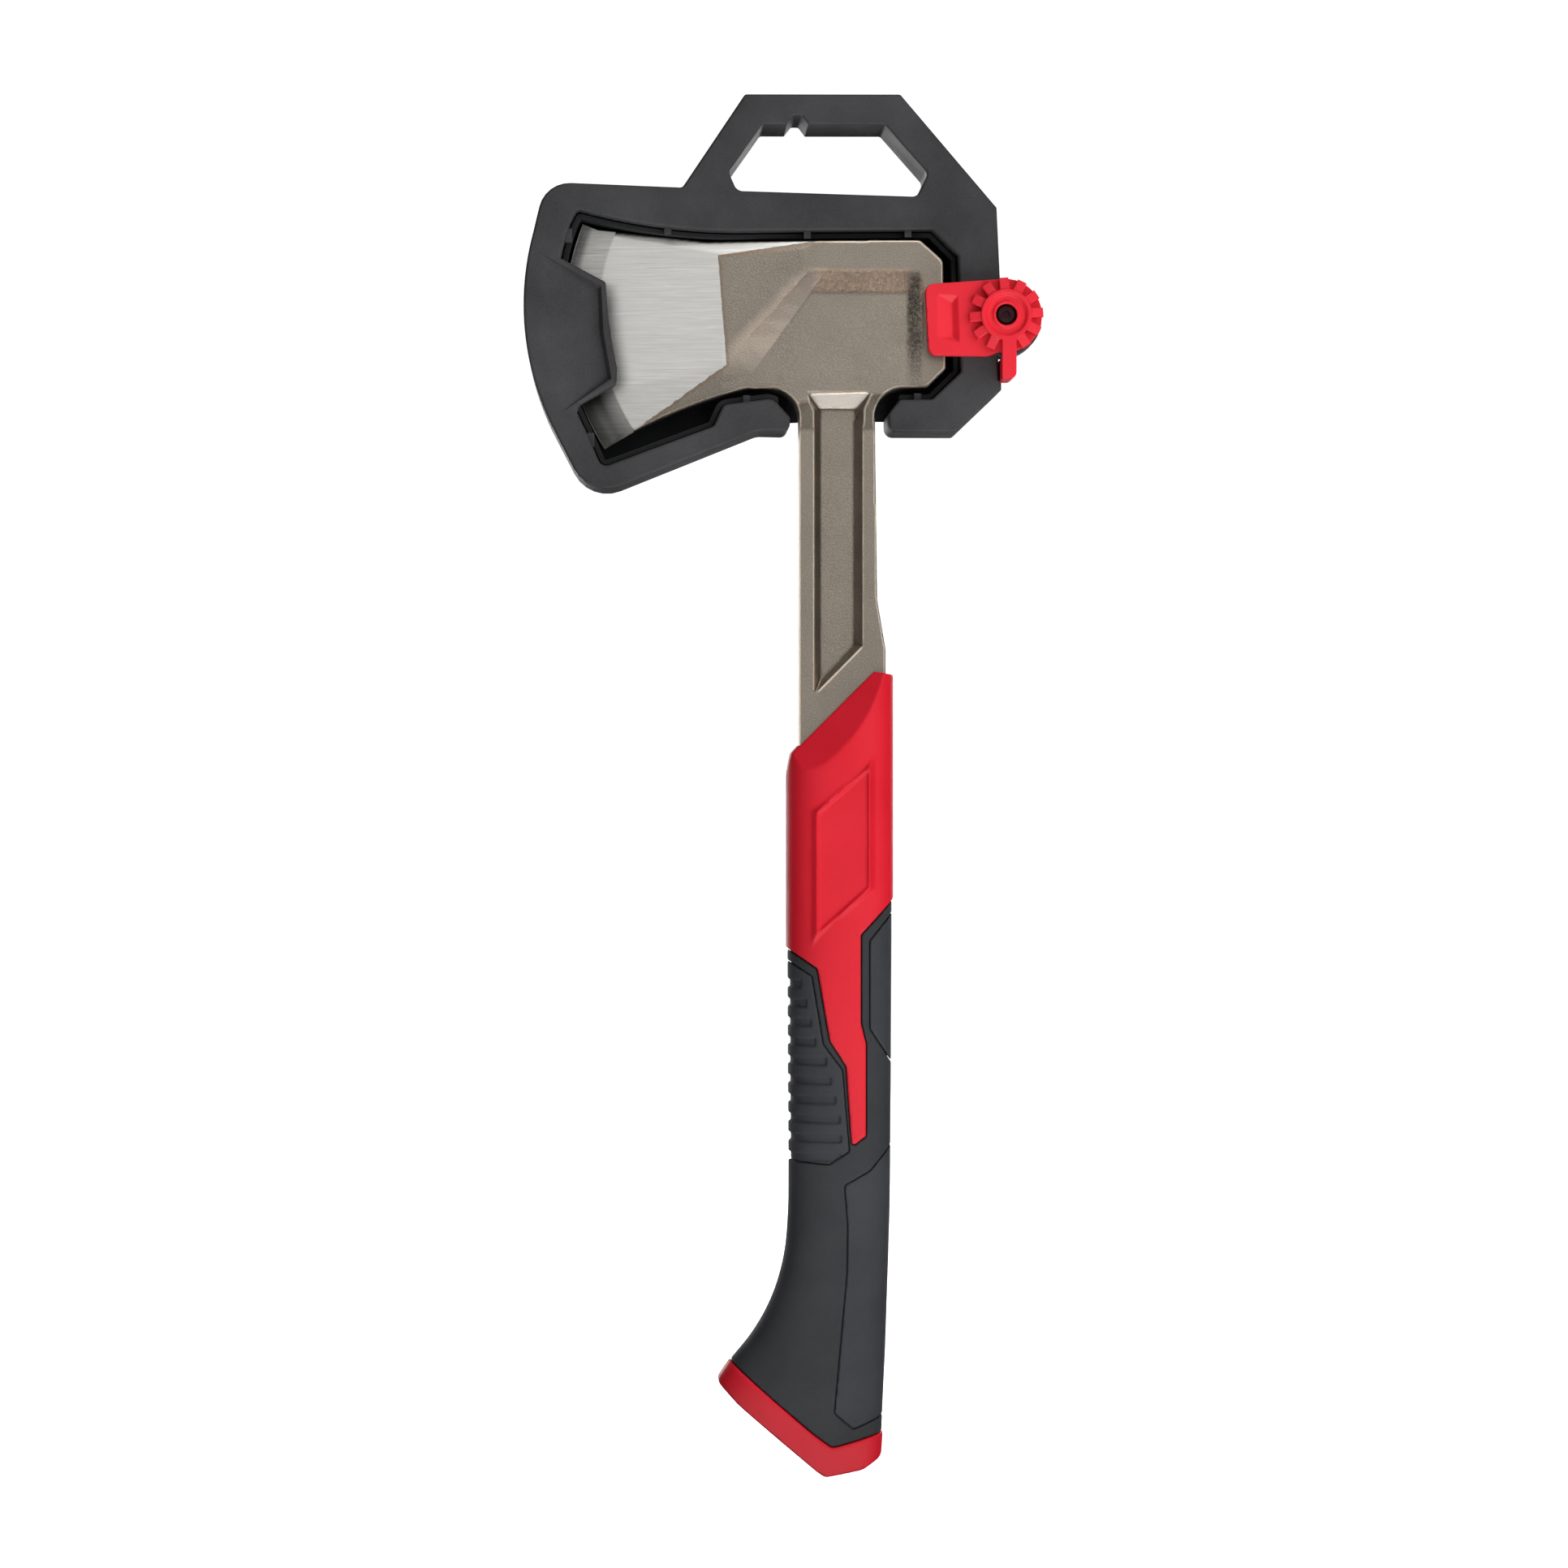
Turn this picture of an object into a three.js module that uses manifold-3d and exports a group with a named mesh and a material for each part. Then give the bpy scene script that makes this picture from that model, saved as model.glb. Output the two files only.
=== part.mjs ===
// Camping hatchet clipped into its hard carry sheath.
//
// Millimetres, +Z up. The hatchet hangs head up: its cutting edge faces -X, its mid-plane is y = 0,
// and the open side of the sheath faces -Y. The origin is the top of the hanging notch in the
// sheath's carry handle.

import * as THREE from 'three';
import { mergeVertices } from 'three/addons/utils/BufferGeometryUtils.js';
import Module from 'manifold-3d';

const wasm = await Module();
wasm.setup();

// ---------------------------------------------------------------- driving dimensions

const FIT = 0.3;                    // gap between pieces that touch
const CURVE_STEP = Math.PI / 8;     // turn per facet on rounded corners and arcs

const SHEATH_FRONT = -13.5;
const SHEATH_BACK = 15.5;
const LIP_THICKNESS = 5.0;          // the guard over the bit, flush with the frame's front

const TRAY_RIM_FRONT = -7.7;        // the liner's rim stops behind the seven catches
const TRAY_WALL = 1.8;
const TRAY_FLOOR_FRONT = 11.4;
const FLANGE_FRONT = 12.8;
const FLANGE_BACK = 15.2;
const FLANGE_WIDTH = 4.0;
const MOUTH_FLOOR_Z = -96.0;        // the liner's floor ends here between the jaws

const EDGE_CENTRE = [3.5, -63.1];   // the cutting edge is an arc about this point
const EDGE_RADIUS = 77.8;
const EDGE_HALF = 0.25;             // half thickness at the honed edge
const BEVEL_RADIUS = 67.3;          // the micro bevel starts here
const BEVEL_HALF = 2.5;
const BIT_SHOULDER_X = -24.0;       // the polished bit ends here
const BIT_SHOULDER_HALF = 8.4;
const CHEEK_X = 2.0;
const HEAD_HALF = 11.0;

const HAFT_HALF = 6.5;
const TANG = { left: 4.5, right: 21.5, half: 4.0, top: -212, bottom: -392 };

const GRIP_HALF = 13.5;             // half depth of the grip
const GRIP_SQUARENESS = 2.4;        // superellipse power of the grip's section
const GRIP_SEGMENTS = 20;
const OVERMOULD_THICKNESS = 2.6;
const OVERMOULD_INSET = 0.5;        // the rubber lies a little below the red sleeve
const RIB_COUNT = 10;
const RIB_TOP = -277.3;             // right-hand end of the first slot between two ribs
const RIB_DEPTH = 0.8;
const RIB_PITCH = 6.2;
const RIB_SLOT = 2.8;
const RIB_TILT = 0.5;               // how much higher the front end of each slot is
const REACH = 30;                   // half depth of a prism that goes right through the grip
const BADGE_FLOOR = 12.9;           // distance of the badge's floor from the mid-plane

const PIVOT = [66.5, -64.3];        // latch axis, parallel to Y
const EAR_RADIUS = 12.2;
const EAR_BACK = -2.5;
const ARM_BACK = -13.8;
const ARM_FRONT = -18.0;
const ARM_END_RADIUS = 11.7;
const DIAL_FRONT = -21.6;
const DIAL_RIM = 8.1;
const DIAL_TEETH = 12;
const TOOTH_OUTER = 12.1;
const TOOTH_FRONT = -21.2;
const TOOTH_HALF = 1.55;            // half width of a tooth
const TOOTH_FALL = 1.2;             // a tooth is this much lower at its outer end
const TAB = { left: 65.1, right: 69.7, low: -84.8, shoulder: -77.9, back: -4.0 };
const PIVOT_BORE = 3.4;
const PIVOT_SHANK = 1.9;
const HARDWARE_BORE = 2.2;          // bore of the bush, washer and insert
const CATCH_HALF = [1.1, 2.2];
const SCREW_HOLE = 1.5;
const SCREW_LUG = 3.7;

// ---------------------------------------------------------------- outlines (x, z, corner radius)
// A { through } entry bends the side between its neighbours into an arc through that point.

const SHEATH_OUTER = [
  [-2.6, -101.3, 3.0], [-12.5, -101.1, 6.0], [-66.8, -123.0, 12.0], [-79.0, -99.4],
  { through: [-87.8, -63.0] }, [-84.8, -38.0], [-80.9, -21.6, 10.0], [-37.0, -23.2, 1.5],
  [-16.9, 6.8, 1.2], [33.0, 7.0, 1.2], [64.0, -29.2, 1.2], [65.3, -57.0], [65.3, -71.0],
  [64.5, -72.5], [64.5, -84.6], [65.5, -85.6], [65.5, -87.8, 0.8], [51.4, -101.3, 1.6],
  [29.2, -101.3, 3.0],
];

const POCKET = [
  [29.2, -95.5, 1.5], [32.8, -91.0, 2.0], [43.3, -90.8, 1.5], [52.6, -81.8, 1.5],
  [51.6, -44.7, 0.8], [43.3, -36.4, 1.0], [-12.0, -37.0], { through: [-42.9, -35.7] },
  [-70.6, -30.3, 2.4], [-72.8, -34.5], { through: [-77.5, -63.1] }, [-68.2, -100.6],
  [-62.8, -113.0, 2.5], [-27.0, -99.7, 2.0], [-23.8, -92.8, 2.4], [-8.0, -90.7, 4.0],
  [-2.4, -96.8, 1.5],
];

const WINDOW = [
  [-11.3, -2.9, 1.0], [-3.4, -2.9, 0.6], [-1.2, 0.0, 1.0], [1.2, 0.0, 1.0], [3.4, -2.9, 0.6],
  [28.0, -2.8, 1.5], [41.8, -18.4, 2.0], [38.4, -25.8, 2.5], [-19.5, -24.2, 3.0],
  [-22.1, -18.2, 2.0],
];

const LIP = [
  [-79.0, -44.3], [-61.5, -53.6, 1.8], { through: [-60.2, -68.0] }, [-57.9, -81.0],
  [-58.0, -86.2, 2.0], [-69.8, -93.0, 1.5], [-72.0, -99.5], { through: [-79.5, -72.0] },
];

const HEAD = [
  [-68.9, -33.6], [-64.0, -35.7], [-28.8, -39.9, 6.0], [39.6, -39.5, 1.5], [46.9, -46.0, 2.5],
  [47.8, -80.9, 1.0], [41.6, -86.9, 1.5], [33.0, -87.0], { through: [27.3, -90.0] }, [25.1, -97.5],
  [25.1, -100.0], [0.8, -100.0], [0.8, -97.0], { through: [-1.7, -90.3] }, [-7.7, -87.2],
  [-16.0, -87.3],
  { through: [-38.5, -94.4] }, [-61.8, -106.3], { through: [-74.6, -66.0] },
];

const HAFT = [
  [0.8, -86.0], [25.1, -86.0], [26.0, -155.0, 20.0], [28.7, -171.0, 8.0],
  [28.7, -215.0], [0.8, -215.0],
];

// Recesses: corners of the rim and of the floor as x, z and distance from the mid-plane.
const LIP_PANEL = {
  rim: [[-82.4, -44.5, 13.5], [-62.9, -55.0, 13.5], [-62.2, -70.0, 13.5], [-59.6, -84.6, 13.5],
    [-75.3, -95.3, 13.5], [-83.0, -71.0, 13.5]],
  floor: [[-82.2, -44.7, 13.4], [-64.0, -55.7, 11.4], [-63.5, -70.0, 11.2],
    [-60.9, -84.2, 11.4], [-75.1, -95.1, 13.4], [-82.8, -71.0, 13.4]],
};
const CHEEK_RECESS = {
  rim: [[3.6, -49.6, 11.0], [39.7, -49.6, 11.0], [40.3, -92.0, 11.0], [-34.0, -92.0, 7.5]],
  floor: [[5.0, -56.2, 9.0], [35.8, -56.2, 9.0], [36.4, -92.0, 10.6], [-21.0, -92.0, 8.2]],
};
const RAMP = {
  rim: [[2.8, -88.0, 10.5], [23.9, -88.0, 10.5], [19.8, -97.0, 6.5], [7.0, -97.0, 6.5]],
  floor: [[7.2, -93.2, 3.4], [18.9, -93.2, 3.4], [19.3, -97.0, 3.4], [8.0, -97.0, 3.4]],
};
const CHANNEL = {
  rim: [[5.7, -93.2, 6.5], [21.3, -93.2, 6.5], [21.3, -169.8, 6.5], [5.7, -185.6, 6.5]],
  floor: [[7.5, -95.5, 3.4], [18.6, -95.5, 3.4], [18.6, -169.2, 3.4], [7.5, -181.2, 3.4]],
};

const BADGE = [[22.9, -209.3, 0.6], [22.9, -247.6, 0.6], [6.3, -262.4, 0.6], [6.3, -223.8, 0.6]];
// The raised border of the badge, for the front face: its foot on the sleeve, then its top.
const BADGE_BORDER = [
  [[25.2, -11.1, -204.2], [14.6, -13.3, -213.5], [4.0, -11.6, -222.8], [4.0, -11.6, -267.5],
    [14.6, -13.3, -258.1], [25.2, -11.1, -248.6]],
  [[22.9, -13.9, -209.3], [14.6, -14.1, -216.5], [6.3, -13.9, -223.8], [6.3, -13.9, -262.4],
    [14.6, -14.1, -255.0], [22.9, -13.9, -247.6]],
];

// The sleeve's sloping mouth, and three points on its chamfer with one outside it, for one face.
const SLEEVE_MOUTH = [
  [-20, -212.5], [-3.5, -212.5], [-1.9, -204.6, 2.0], [1.0, -201.4], [24.5, -178.0],
  [40, -180.6], [40, -150], [-20, -150],
];
const SLEEVE_CHAMFER = [[3.1, -7, -199.3], [24.3, -7, -178.1], [7, -13.6, -210.5], [0, -40, -180]];

// Grip stations from the top down: the section's left end, its right end and its half depth.
const GRIP_STATIONS = [
  { left: [-3.3, -172.0], right: [31.4, -172.0], half: GRIP_HALF },
  { left: [-3.3, -262.0], right: [31.4, -262.0], half: GRIP_HALF },
  { left: [-3.0, -334.0], right: [31.0, -338.0], half: GRIP_HALF },
  { left: [-3.3, -355.0], right: [30.5, -362.0], half: GRIP_HALF },
  { left: [-4.9, -368.5], right: [29.9, -380.0], half: GRIP_HALF },
  { left: [-8.8, -380.8], right: [29.3, -397.0], half: 13.7 },
  { left: [-15.0, -391.8], right: [28.6, -412.0], half: 14.0 },
  { left: [-24.9, -404.3], right: [28.0, -428.0], half: 14.4 },
  { left: [-27.5, -412.0], right: [27.8, -450.0], half: 14.6 },
];

const BUTT = [
  [-40.0, -160.0], [40.0, -160.0], [40.0, -423.0], [28.0, -424.0], [27.4, -431.4, 3.0],
  [21.2, -435.0, 3.0], [8.4, -437.0, 2.5], [-19.3, -413.6, 4.0], [-25.8, -406.8, 2.0],
  [-20.4, -398.8], [-30.0, -390.0],
];

const CAP_TOP = [
  [-32.0, -391.0], [-19.6, -402.0, 2.0], [4.5, -422.8, 2.0], [11.0, -427.6, 2.0],
  [29.5, -423.2], [40.0, -423.0], [40.0, -460.0], [-40.0, -460.0],
];

const RED_REGION = [
  [-10.0, -160.0], [40.0, -160.0], [40.0, -246.0], [31.4, -251.2], [20.3, -262.8, 1.0],
  [20.3, -291.2], [22.0, -298.0], [22.0, -327.4], [17.4, -330.8, 0.8], [15.6, -305.0],
  [10.4, -296.9], [6.4, -273.6, 0.8], [-3.0, -267.2], [-10.0, -263.0],
];

const FRONT_PAD = [
  [-10.0, -271.6], [-2.5, -271.6], [4.5, -276.2, 1.0], [8.1, -298.0], [14.3, -306.3],
  [16.5, -332.3, 0.8], [10.2, -336.4, 0.8], [-10.0, -335.0],
];
const UPPER_BACK_PAD = [
  [40.0, -254.0], [31.0, -256.0], [23.4, -264.8, 0.8], [23.4, -293.0], [30.5, -303.6],
  [40.0, -306.0],
];
const LOWER_BACK_PAD = [
  [40.0, -324.0], [30.8, -330.6], [23.5, -338.8], [15.2, -343.4, 0.8], [16.2, -356.0],
  [16.0, -372.0], [11.9, -416.4, 0.8], [18.0, -421.6, 0.8], [27.5, -418.0], [40.0, -413.0],
];

const CATCHES = [
  [-73.4, -38.5], [-41.6, -35.6], [3.2, -36.9], [35.6, -36.4], [-66.3, -104.0], [-16.3, -91.8],
  [38.7, -91.0],
];

const SCREWS = [[-50, -29.4], [-5, -30.9], [38, -30.4], [58.4, -79], [-82.0, -63.1], [-14, -95.6]];

const LATCH_ARM = [
  [40.6, -54.4, 2.8], [64.6, -52.7], { through: [78.2, -64.3] }, [64.6, -75.9],
  [61.0, -77.3, 2.0], [41.8, -77.2, 2.8],
];
const THUMB_SCOOP = {
  rim: [[44.4, -57.5, 18.0], [51.2, -58.0, 18.0], [51.7, -73.2, 18.0], [44.7, -72.2, 18.0]],
  floor: [[44.6, -58.2, 17.9], [49.3, -60.2, 16.3], [49.6, -71.2, 16.3], [44.9, -71.7, 17.9]],
};

// ---------------------------------------------------------------- shape helpers

function arcThrough(start, middle, end) {
  const [ax, az] = start, [bx, bz] = middle, [cx, cz] = end;
  const d = 2 * (ax * (bz - cz) + bx * (cz - az) + cx * (az - bz));
  const a2 = ax * ax + az * az, b2 = bx * bx + bz * bz, c2 = cx * cx + cz * cz;
  const x = (a2 * (bz - cz) + b2 * (cz - az) + c2 * (az - bz)) / d;
  const z = (a2 * (cx - bx) + b2 * (ax - cx) + c2 * (bx - ax)) / d;
  const radius = Math.hypot(ax - x, az - z);
  const from = Math.atan2(az - z, ax - x);
  const turn = (angle) => THREE.MathUtils.euclideanModulo(angle - from, 2 * Math.PI);
  const toMiddle = turn(Math.atan2(bz - z, bx - x));
  const toEnd = turn(Math.atan2(cz - z, cx - x));
  const sweep = toMiddle < toEnd ? toEnd : toEnd - 2 * Math.PI;
  const steps = Math.max(4, Math.ceil(Math.abs(sweep) / CURVE_STEP) * 2);
  return Array.from({ length: steps - 1 }, (_, i) => {
    const angle = from + sweep * (i + 1) / steps;
    return [x + radius * Math.cos(angle), z + radius * Math.sin(angle)];
  });
}

function roundedCorner(before, corner, after, radius) {
  const at = new THREE.Vector2(corner[0], corner[1]);
  const toBefore = new THREE.Vector2(before[0], before[1]).sub(at);
  const toAfter = new THREE.Vector2(after[0], after[1]).sub(at);
  const room = Math.min(toBefore.length(), toAfter.length()) * 0.49;
  toBefore.normalize();
  toAfter.normalize();
  const half = Math.acos(THREE.MathUtils.clamp(toBefore.dot(toAfter), -1, 1)) / 2;
  const reach = Math.min(radius / Math.tan(half), room);
  const r = reach * Math.tan(half);
  const centre = toBefore.clone().add(toAfter).normalize().multiplyScalar(r / Math.sin(half)).add(at);
  const first = toBefore.multiplyScalar(reach).add(at).sub(centre);
  const last = toAfter.multiplyScalar(reach).add(at).sub(centre);
  const sweep = Math.atan2(first.cross(last), first.dot(last));
  const steps = Math.max(1, Math.ceil(Math.abs(sweep) / CURVE_STEP));
  return Array.from({ length: steps + 1 }, (_, i) => {
    const spoke = first.clone().rotateAround(new THREE.Vector2(), sweep * i / steps);
    return [centre.x + spoke.x, centre.y + spoke.y];
  });
}

function outline(entries) {
  const at = (list, i) => list[(i + list.length) % list.length];
  const corners = entries.flatMap((entry, i) => (
    entry.through ? arcThrough(at(entries, i - 1), entry.through, at(entries, i + 1)) : [entry]
  ));
  return corners.flatMap((corner, i) => (
    corner[2] ? roundedCorner(at(corners, i - 1), corner, at(corners, i + 1), corner[2]) : [corner]
  ));
}

// Moves every side of a closed outline outwards by a distance, or inwards if it is negative.
function grown(entries, distance) {
  const points = entries.map((entry) => entry.through ?? entry);
  const area = points.reduce((sum, [x, z], i) => {
    const [nx, nz] = points[(i + 1) % points.length];
    return sum + x * nz - nx * z;
  }, 0);
  const out = Math.sign(area) * distance;
  return entries.map((entry, i) => {
    const count = points.length;
    const [x, z] = points[i];
    const [px, pz] = points[(i + count - 1) % count];
    const [nx, nz] = points[(i + 1) % count];
    const a = new THREE.Vector2(x - px, z - pz).normalize();
    const b = new THREE.Vector2(nx - x, nz - z).normalize();
    const mitre = 1 / (1 + a.dot(b));
    const moved = [x + out * (a.y + b.y) * mitre, z - out * (a.x + b.x) * mitre];
    if (entry.through) return { through: moved };
    const radius = entry[2] ? Math.max(0.4, entry[2] + Math.sign(a.cross(b)) * out) : 0;
    return [...moved, radius];
  });
}

// A solid of one outline between two depths, front being the more negative y.
function plate(entries, front, back) {
  const shape = new THREE.Shape(outline(entries).map(([x, z]) => new THREE.Vector2(x, z)));
  const geometry = new THREE.ExtrudeGeometry(shape, { depth: back - front, bevelEnabled: false });
  return solid(geometry.rotateX(Math.PI / 2).translate(0, back, 0));
}

function box(x0, x1, front, back, z0, z1) {
  const geometry = new THREE.BoxGeometry(x1 - x0, back - front, z1 - z0);
  return solid(geometry.translate((x0 + x1) / 2, (front + back) / 2, (z0 + z1) / 2));
}

// A turned solid about an axis parallel to Y. The profile is a list of [radius, y].
function turned([x, z], profile, segments = 20) {
  const points = profile.map(([radius, y]) => new THREE.Vector2(radius, y));
  return solid(new THREE.LatheGeometry(points, segments).translate(x, 0, z));
}

function disc(centre, radius, front, back, segments) {
  return turned(centre, [[0, front], [radius, front], [radius, back], [0, back]], segments);
}

function ring(centre, inner, outer, front, back, segments) {
  const profile = [[inner, front], [outer, front], [outer, back], [inner, back], [inner, front]];
  return turned(centre, profile, segments);
}

// A solid skinned over closed rings of equal length, capped at both ends.
function loft(rings) {
  const count = rings[0].length;
  const position = rings.flat(2);
  const index = [];
  for (let r = 0; r + 1 < rings.length; r += 1) {
    for (let i = 0; i < count; i += 1) {
      const a = r * count + i, b = r * count + (i + 1) % count;
      index.push(a, b, a + count, b, b + count, a + count);
    }
  }
  const last = (rings.length - 1) * count;
  for (let i = 1; i + 1 < count; i += 1) {
    index.push(0, i + 1, i, last, last + i, last + i + 1);
  }
  const geometry = new THREE.BufferGeometry();
  geometry.setAttribute('position', new THREE.Float32BufferAttribute(position, 3));
  geometry.setIndex(index);
  return solid(geometry);
}

// The cutter of a recess with sloping walls, carried straight out above its rim. The sign picks
// the face.
function recess({ rim, floor }, sign, top = 14) {
  const mouth = rim.map(([x, z]) => [x, z, top]);
  const rings = [mouth, rim, floor];
  return loft(rings.map((ring) => ring.map(([x, z, half]) => [x, sign * half, z])));
}

function recessPair(shape) {
  return recess(shape, 1).add(recess(shape, -1));
}

// A large block that lies outside the plane through three points, on the side of a fourth one.
function halfSpace(a, b, c, outside) {
  const [pa, pb, pc, po] = [a, b, c, outside].map((p) => new THREE.Vector3(...p));
  const normal = pb.clone().sub(pa).cross(pc.clone().sub(pa)).normalize();
  if (normal.dot(po.clone().sub(pa)) < 0) normal.negate();
  const size = 300;
  const geometry = new THREE.BoxGeometry(size, size, size).translate(0, 0, size / 2);
  const turn = new THREE.Quaternion().setFromUnitVectors(new THREE.Vector3(0, 0, 1), normal);
  return solid(geometry.applyQuaternion(turn).translate(pa.x, pa.y, pa.z));
}

function mirrorY([x, y, z]) {
  return [x, -y, z];
}

// A closed three.js mesh as a Manifold solid, turned outside out if its faces point in.
function solid(geometry) {
  const bare = geometry.clone();
  bare.deleteAttribute('normal');
  bare.deleteAttribute('uv');
  const merged = mergeVertices(bare, 1e-4);
  const faces = [];
  for (let i = 0; i < merged.index.count; i += 3) {
    const [a, b, c] = [0, 1, 2].map((k) => merged.index.getX(i + k));
    if (a !== b && b !== c && a !== c) faces.push([a, b, c]);
  }
  const corner = (i) => new THREE.Vector3().fromBufferAttribute(merged.attributes.position, i);
  const volume = faces.reduce((sum, [a, b, c]) => (
    sum + corner(a).dot(corner(b).cross(corner(c)))
  ), 0);
  const outward = volume < 0 ? faces.map(([a, b, c]) => [a, c, b]) : faces;
  return new wasm.Manifold(new wasm.Mesh({
    numProp: 3,
    vertProperties: merged.attributes.position.array,
    triVerts: new Uint32Array(outward.flat()),
  }));
}

function meshOf(name, body, material) {
  const { vertProperties, triVerts } = body.getMesh();
  const geometry = new THREE.BufferGeometry();
  geometry.setAttribute('position', new THREE.BufferAttribute(vertProperties, 3));
  geometry.setIndex(new THREE.BufferAttribute(triVerts, 1));
  geometry.computeVertexNormals();
  const mesh = new THREE.Mesh(geometry, material);
  mesh.name = name;
  return mesh;
}

// ---------------------------------------------------------------- materials

const finish = (color, roughness, metalness) => (
  new THREE.MeshStandardMaterial({ color, roughness, metalness })
);
const coatedSteel = finish(0x8b8378, 0.5, 0.6);
const gripRed = finish(0xd2202f, 0.45, 0);
const softRubber = finish(0x34383b, 0.8, 0);
const sheathPlastic = finish(0x414445, 0.65, 0);
const linerPlastic = finish(0x17181a, 0.7, 0);
const latchRed = finish(0xe02a38, 0.45, 0);
const zincSteel = finish(0x9a9c9e, 0.35, 0.9);
const blackSteel = finish(0x2a2022, 0.45, 0.6);
const brassMetal = finish(0xb08d4a, 0.35, 0.9);

// ---------------------------------------------------------------- hatchet forging

// Head, haft and tang are one forging.
function forging() {
  const bitSpan = 4;      // past the edge, so that the arc alone sets where the bit ends
  const bitSlope = (BIT_SHOULDER_HALF - BEVEL_HALF)
    / (BIT_SHOULDER_X - EDGE_CENTRE[0] + BEVEL_RADIUS);
  const noseX = -80;
  const noseHalf = BIT_SHOULDER_HALF - bitSlope * (BIT_SHOULDER_X - noseX);
  const wedge = [
    [noseX, -noseHalf], [BIT_SHOULDER_X, -BIT_SHOULDER_HALF], [CHEEK_X, -HEAD_HALF],
    [60, -HEAD_HALF], [60, HEAD_HALF], [CHEEK_X, HEAD_HALF],
    [BIT_SHOULDER_X, BIT_SHOULDER_HALF], [noseX, noseHalf],
  ].map(([x, y]) => new THREE.Vector2(x, y));
  const wedgeGeometry = new THREE.ExtrudeGeometry(new THREE.Shape(wedge), {
    depth: 120, bevelEnabled: false,
  });
  const bevelSlope = (BEVEL_HALF - EDGE_HALF) / (EDGE_RADIUS - BEVEL_RADIUS);
  const nearHalf = BEVEL_HALF + bevelSlope * BEVEL_RADIUS;
  const bevelCone = turned(EDGE_CENTRE, [
    [0, -nearHalf], [EDGE_RADIUS, -EDGE_HALF], [EDGE_RADIUS + bitSpan, -EDGE_HALF],
    [EDGE_RADIUS + bitSpan, EDGE_HALF], [EDGE_RADIUS, EDGE_HALF], [0, nearHalf],
  ], 60);

  let head = plate(HEAD, -HEAD_HALF, HEAD_HALF)
    .intersect(solid(wedgeGeometry.translate(0, 0, -130)))
    .intersect(bevelCone.add(box(-20, 60, -20, 20, -130, -20)));

  const toe = [-66, -1.9, -35.6], shoulderTop = [-25.5, -8.3, -44.3], cheekTop = [8, -11, -39.7];
  const heel = [-56, -3.0, -102.7], shoulderLow = [-23.5, -8.45, -80], cheekLow = [-17.5, -9, -86.9];
  const above = [-20, -20, -20], below = [-40, -20, -130];
  head = head.subtract(halfSpace(toe, shoulderTop, cheekTop, above))
    .subtract(halfSpace(...[toe, shoulderTop, cheekTop, above].map(mirrorY)))
    .subtract(halfSpace(heel, shoulderLow, cheekLow, below))
    .subtract(halfSpace(...[heel, shoulderLow, cheekLow, below].map(mirrorY)));
  // The head thins down to the haft below the cheeks.
  const neck = [[0, -HEAD_HALF, -86], [10, -HEAD_HALF, -86], [0, -HAFT_HALF, -100], [0, -40, -120]];
  head = head.subtract(halfSpace(...neck)).subtract(halfSpace(...neck.map(mirrorY)))
    .subtract(recessPair(CHEEK_RECESS));

  const haft = plate(HAFT, -HAFT_HALF, HAFT_HALF);
  const tang = box(TANG.left, TANG.right, -TANG.half, TANG.half, TANG.bottom, TANG.top);
  return head.add(haft).add(tang).subtract(recessPair(CHANNEL)).subtract(recessPair(RAMP));
}

// ---------------------------------------------------------------- grip

// The grip's outer form, shrunk evenly by an inset.
function gripForm(inset = 0) {
  const rings = GRIP_STATIONS.map(({ left, right, half }) => {
    const middle = [(left[0] + right[0]) / 2, (left[1] + right[1]) / 2];
    const reach = [(right[0] - left[0]) / 2, (right[1] - left[1]) / 2];
    const length = Math.hypot(...reach);
    const scale = (length - inset) / length;
    return Array.from({ length: GRIP_SEGMENTS }, (_, i) => {
      const angle = 2 * Math.PI * (i + 0.5) / GRIP_SEGMENTS;
      const power = 2 / GRIP_SQUARENESS;
      const bend = (v) => Math.sign(v) * Math.abs(v) ** power;
      const across = bend(Math.cos(angle)) * scale, deep = bend(Math.sin(angle));
      return [middle[0] + reach[0] * across, (half - inset) * deep, middle[1] + reach[1] * across];
    });
  });
  return loft(rings);
}

const region = (entries) => plate(entries, -REACH, REACH);

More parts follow.
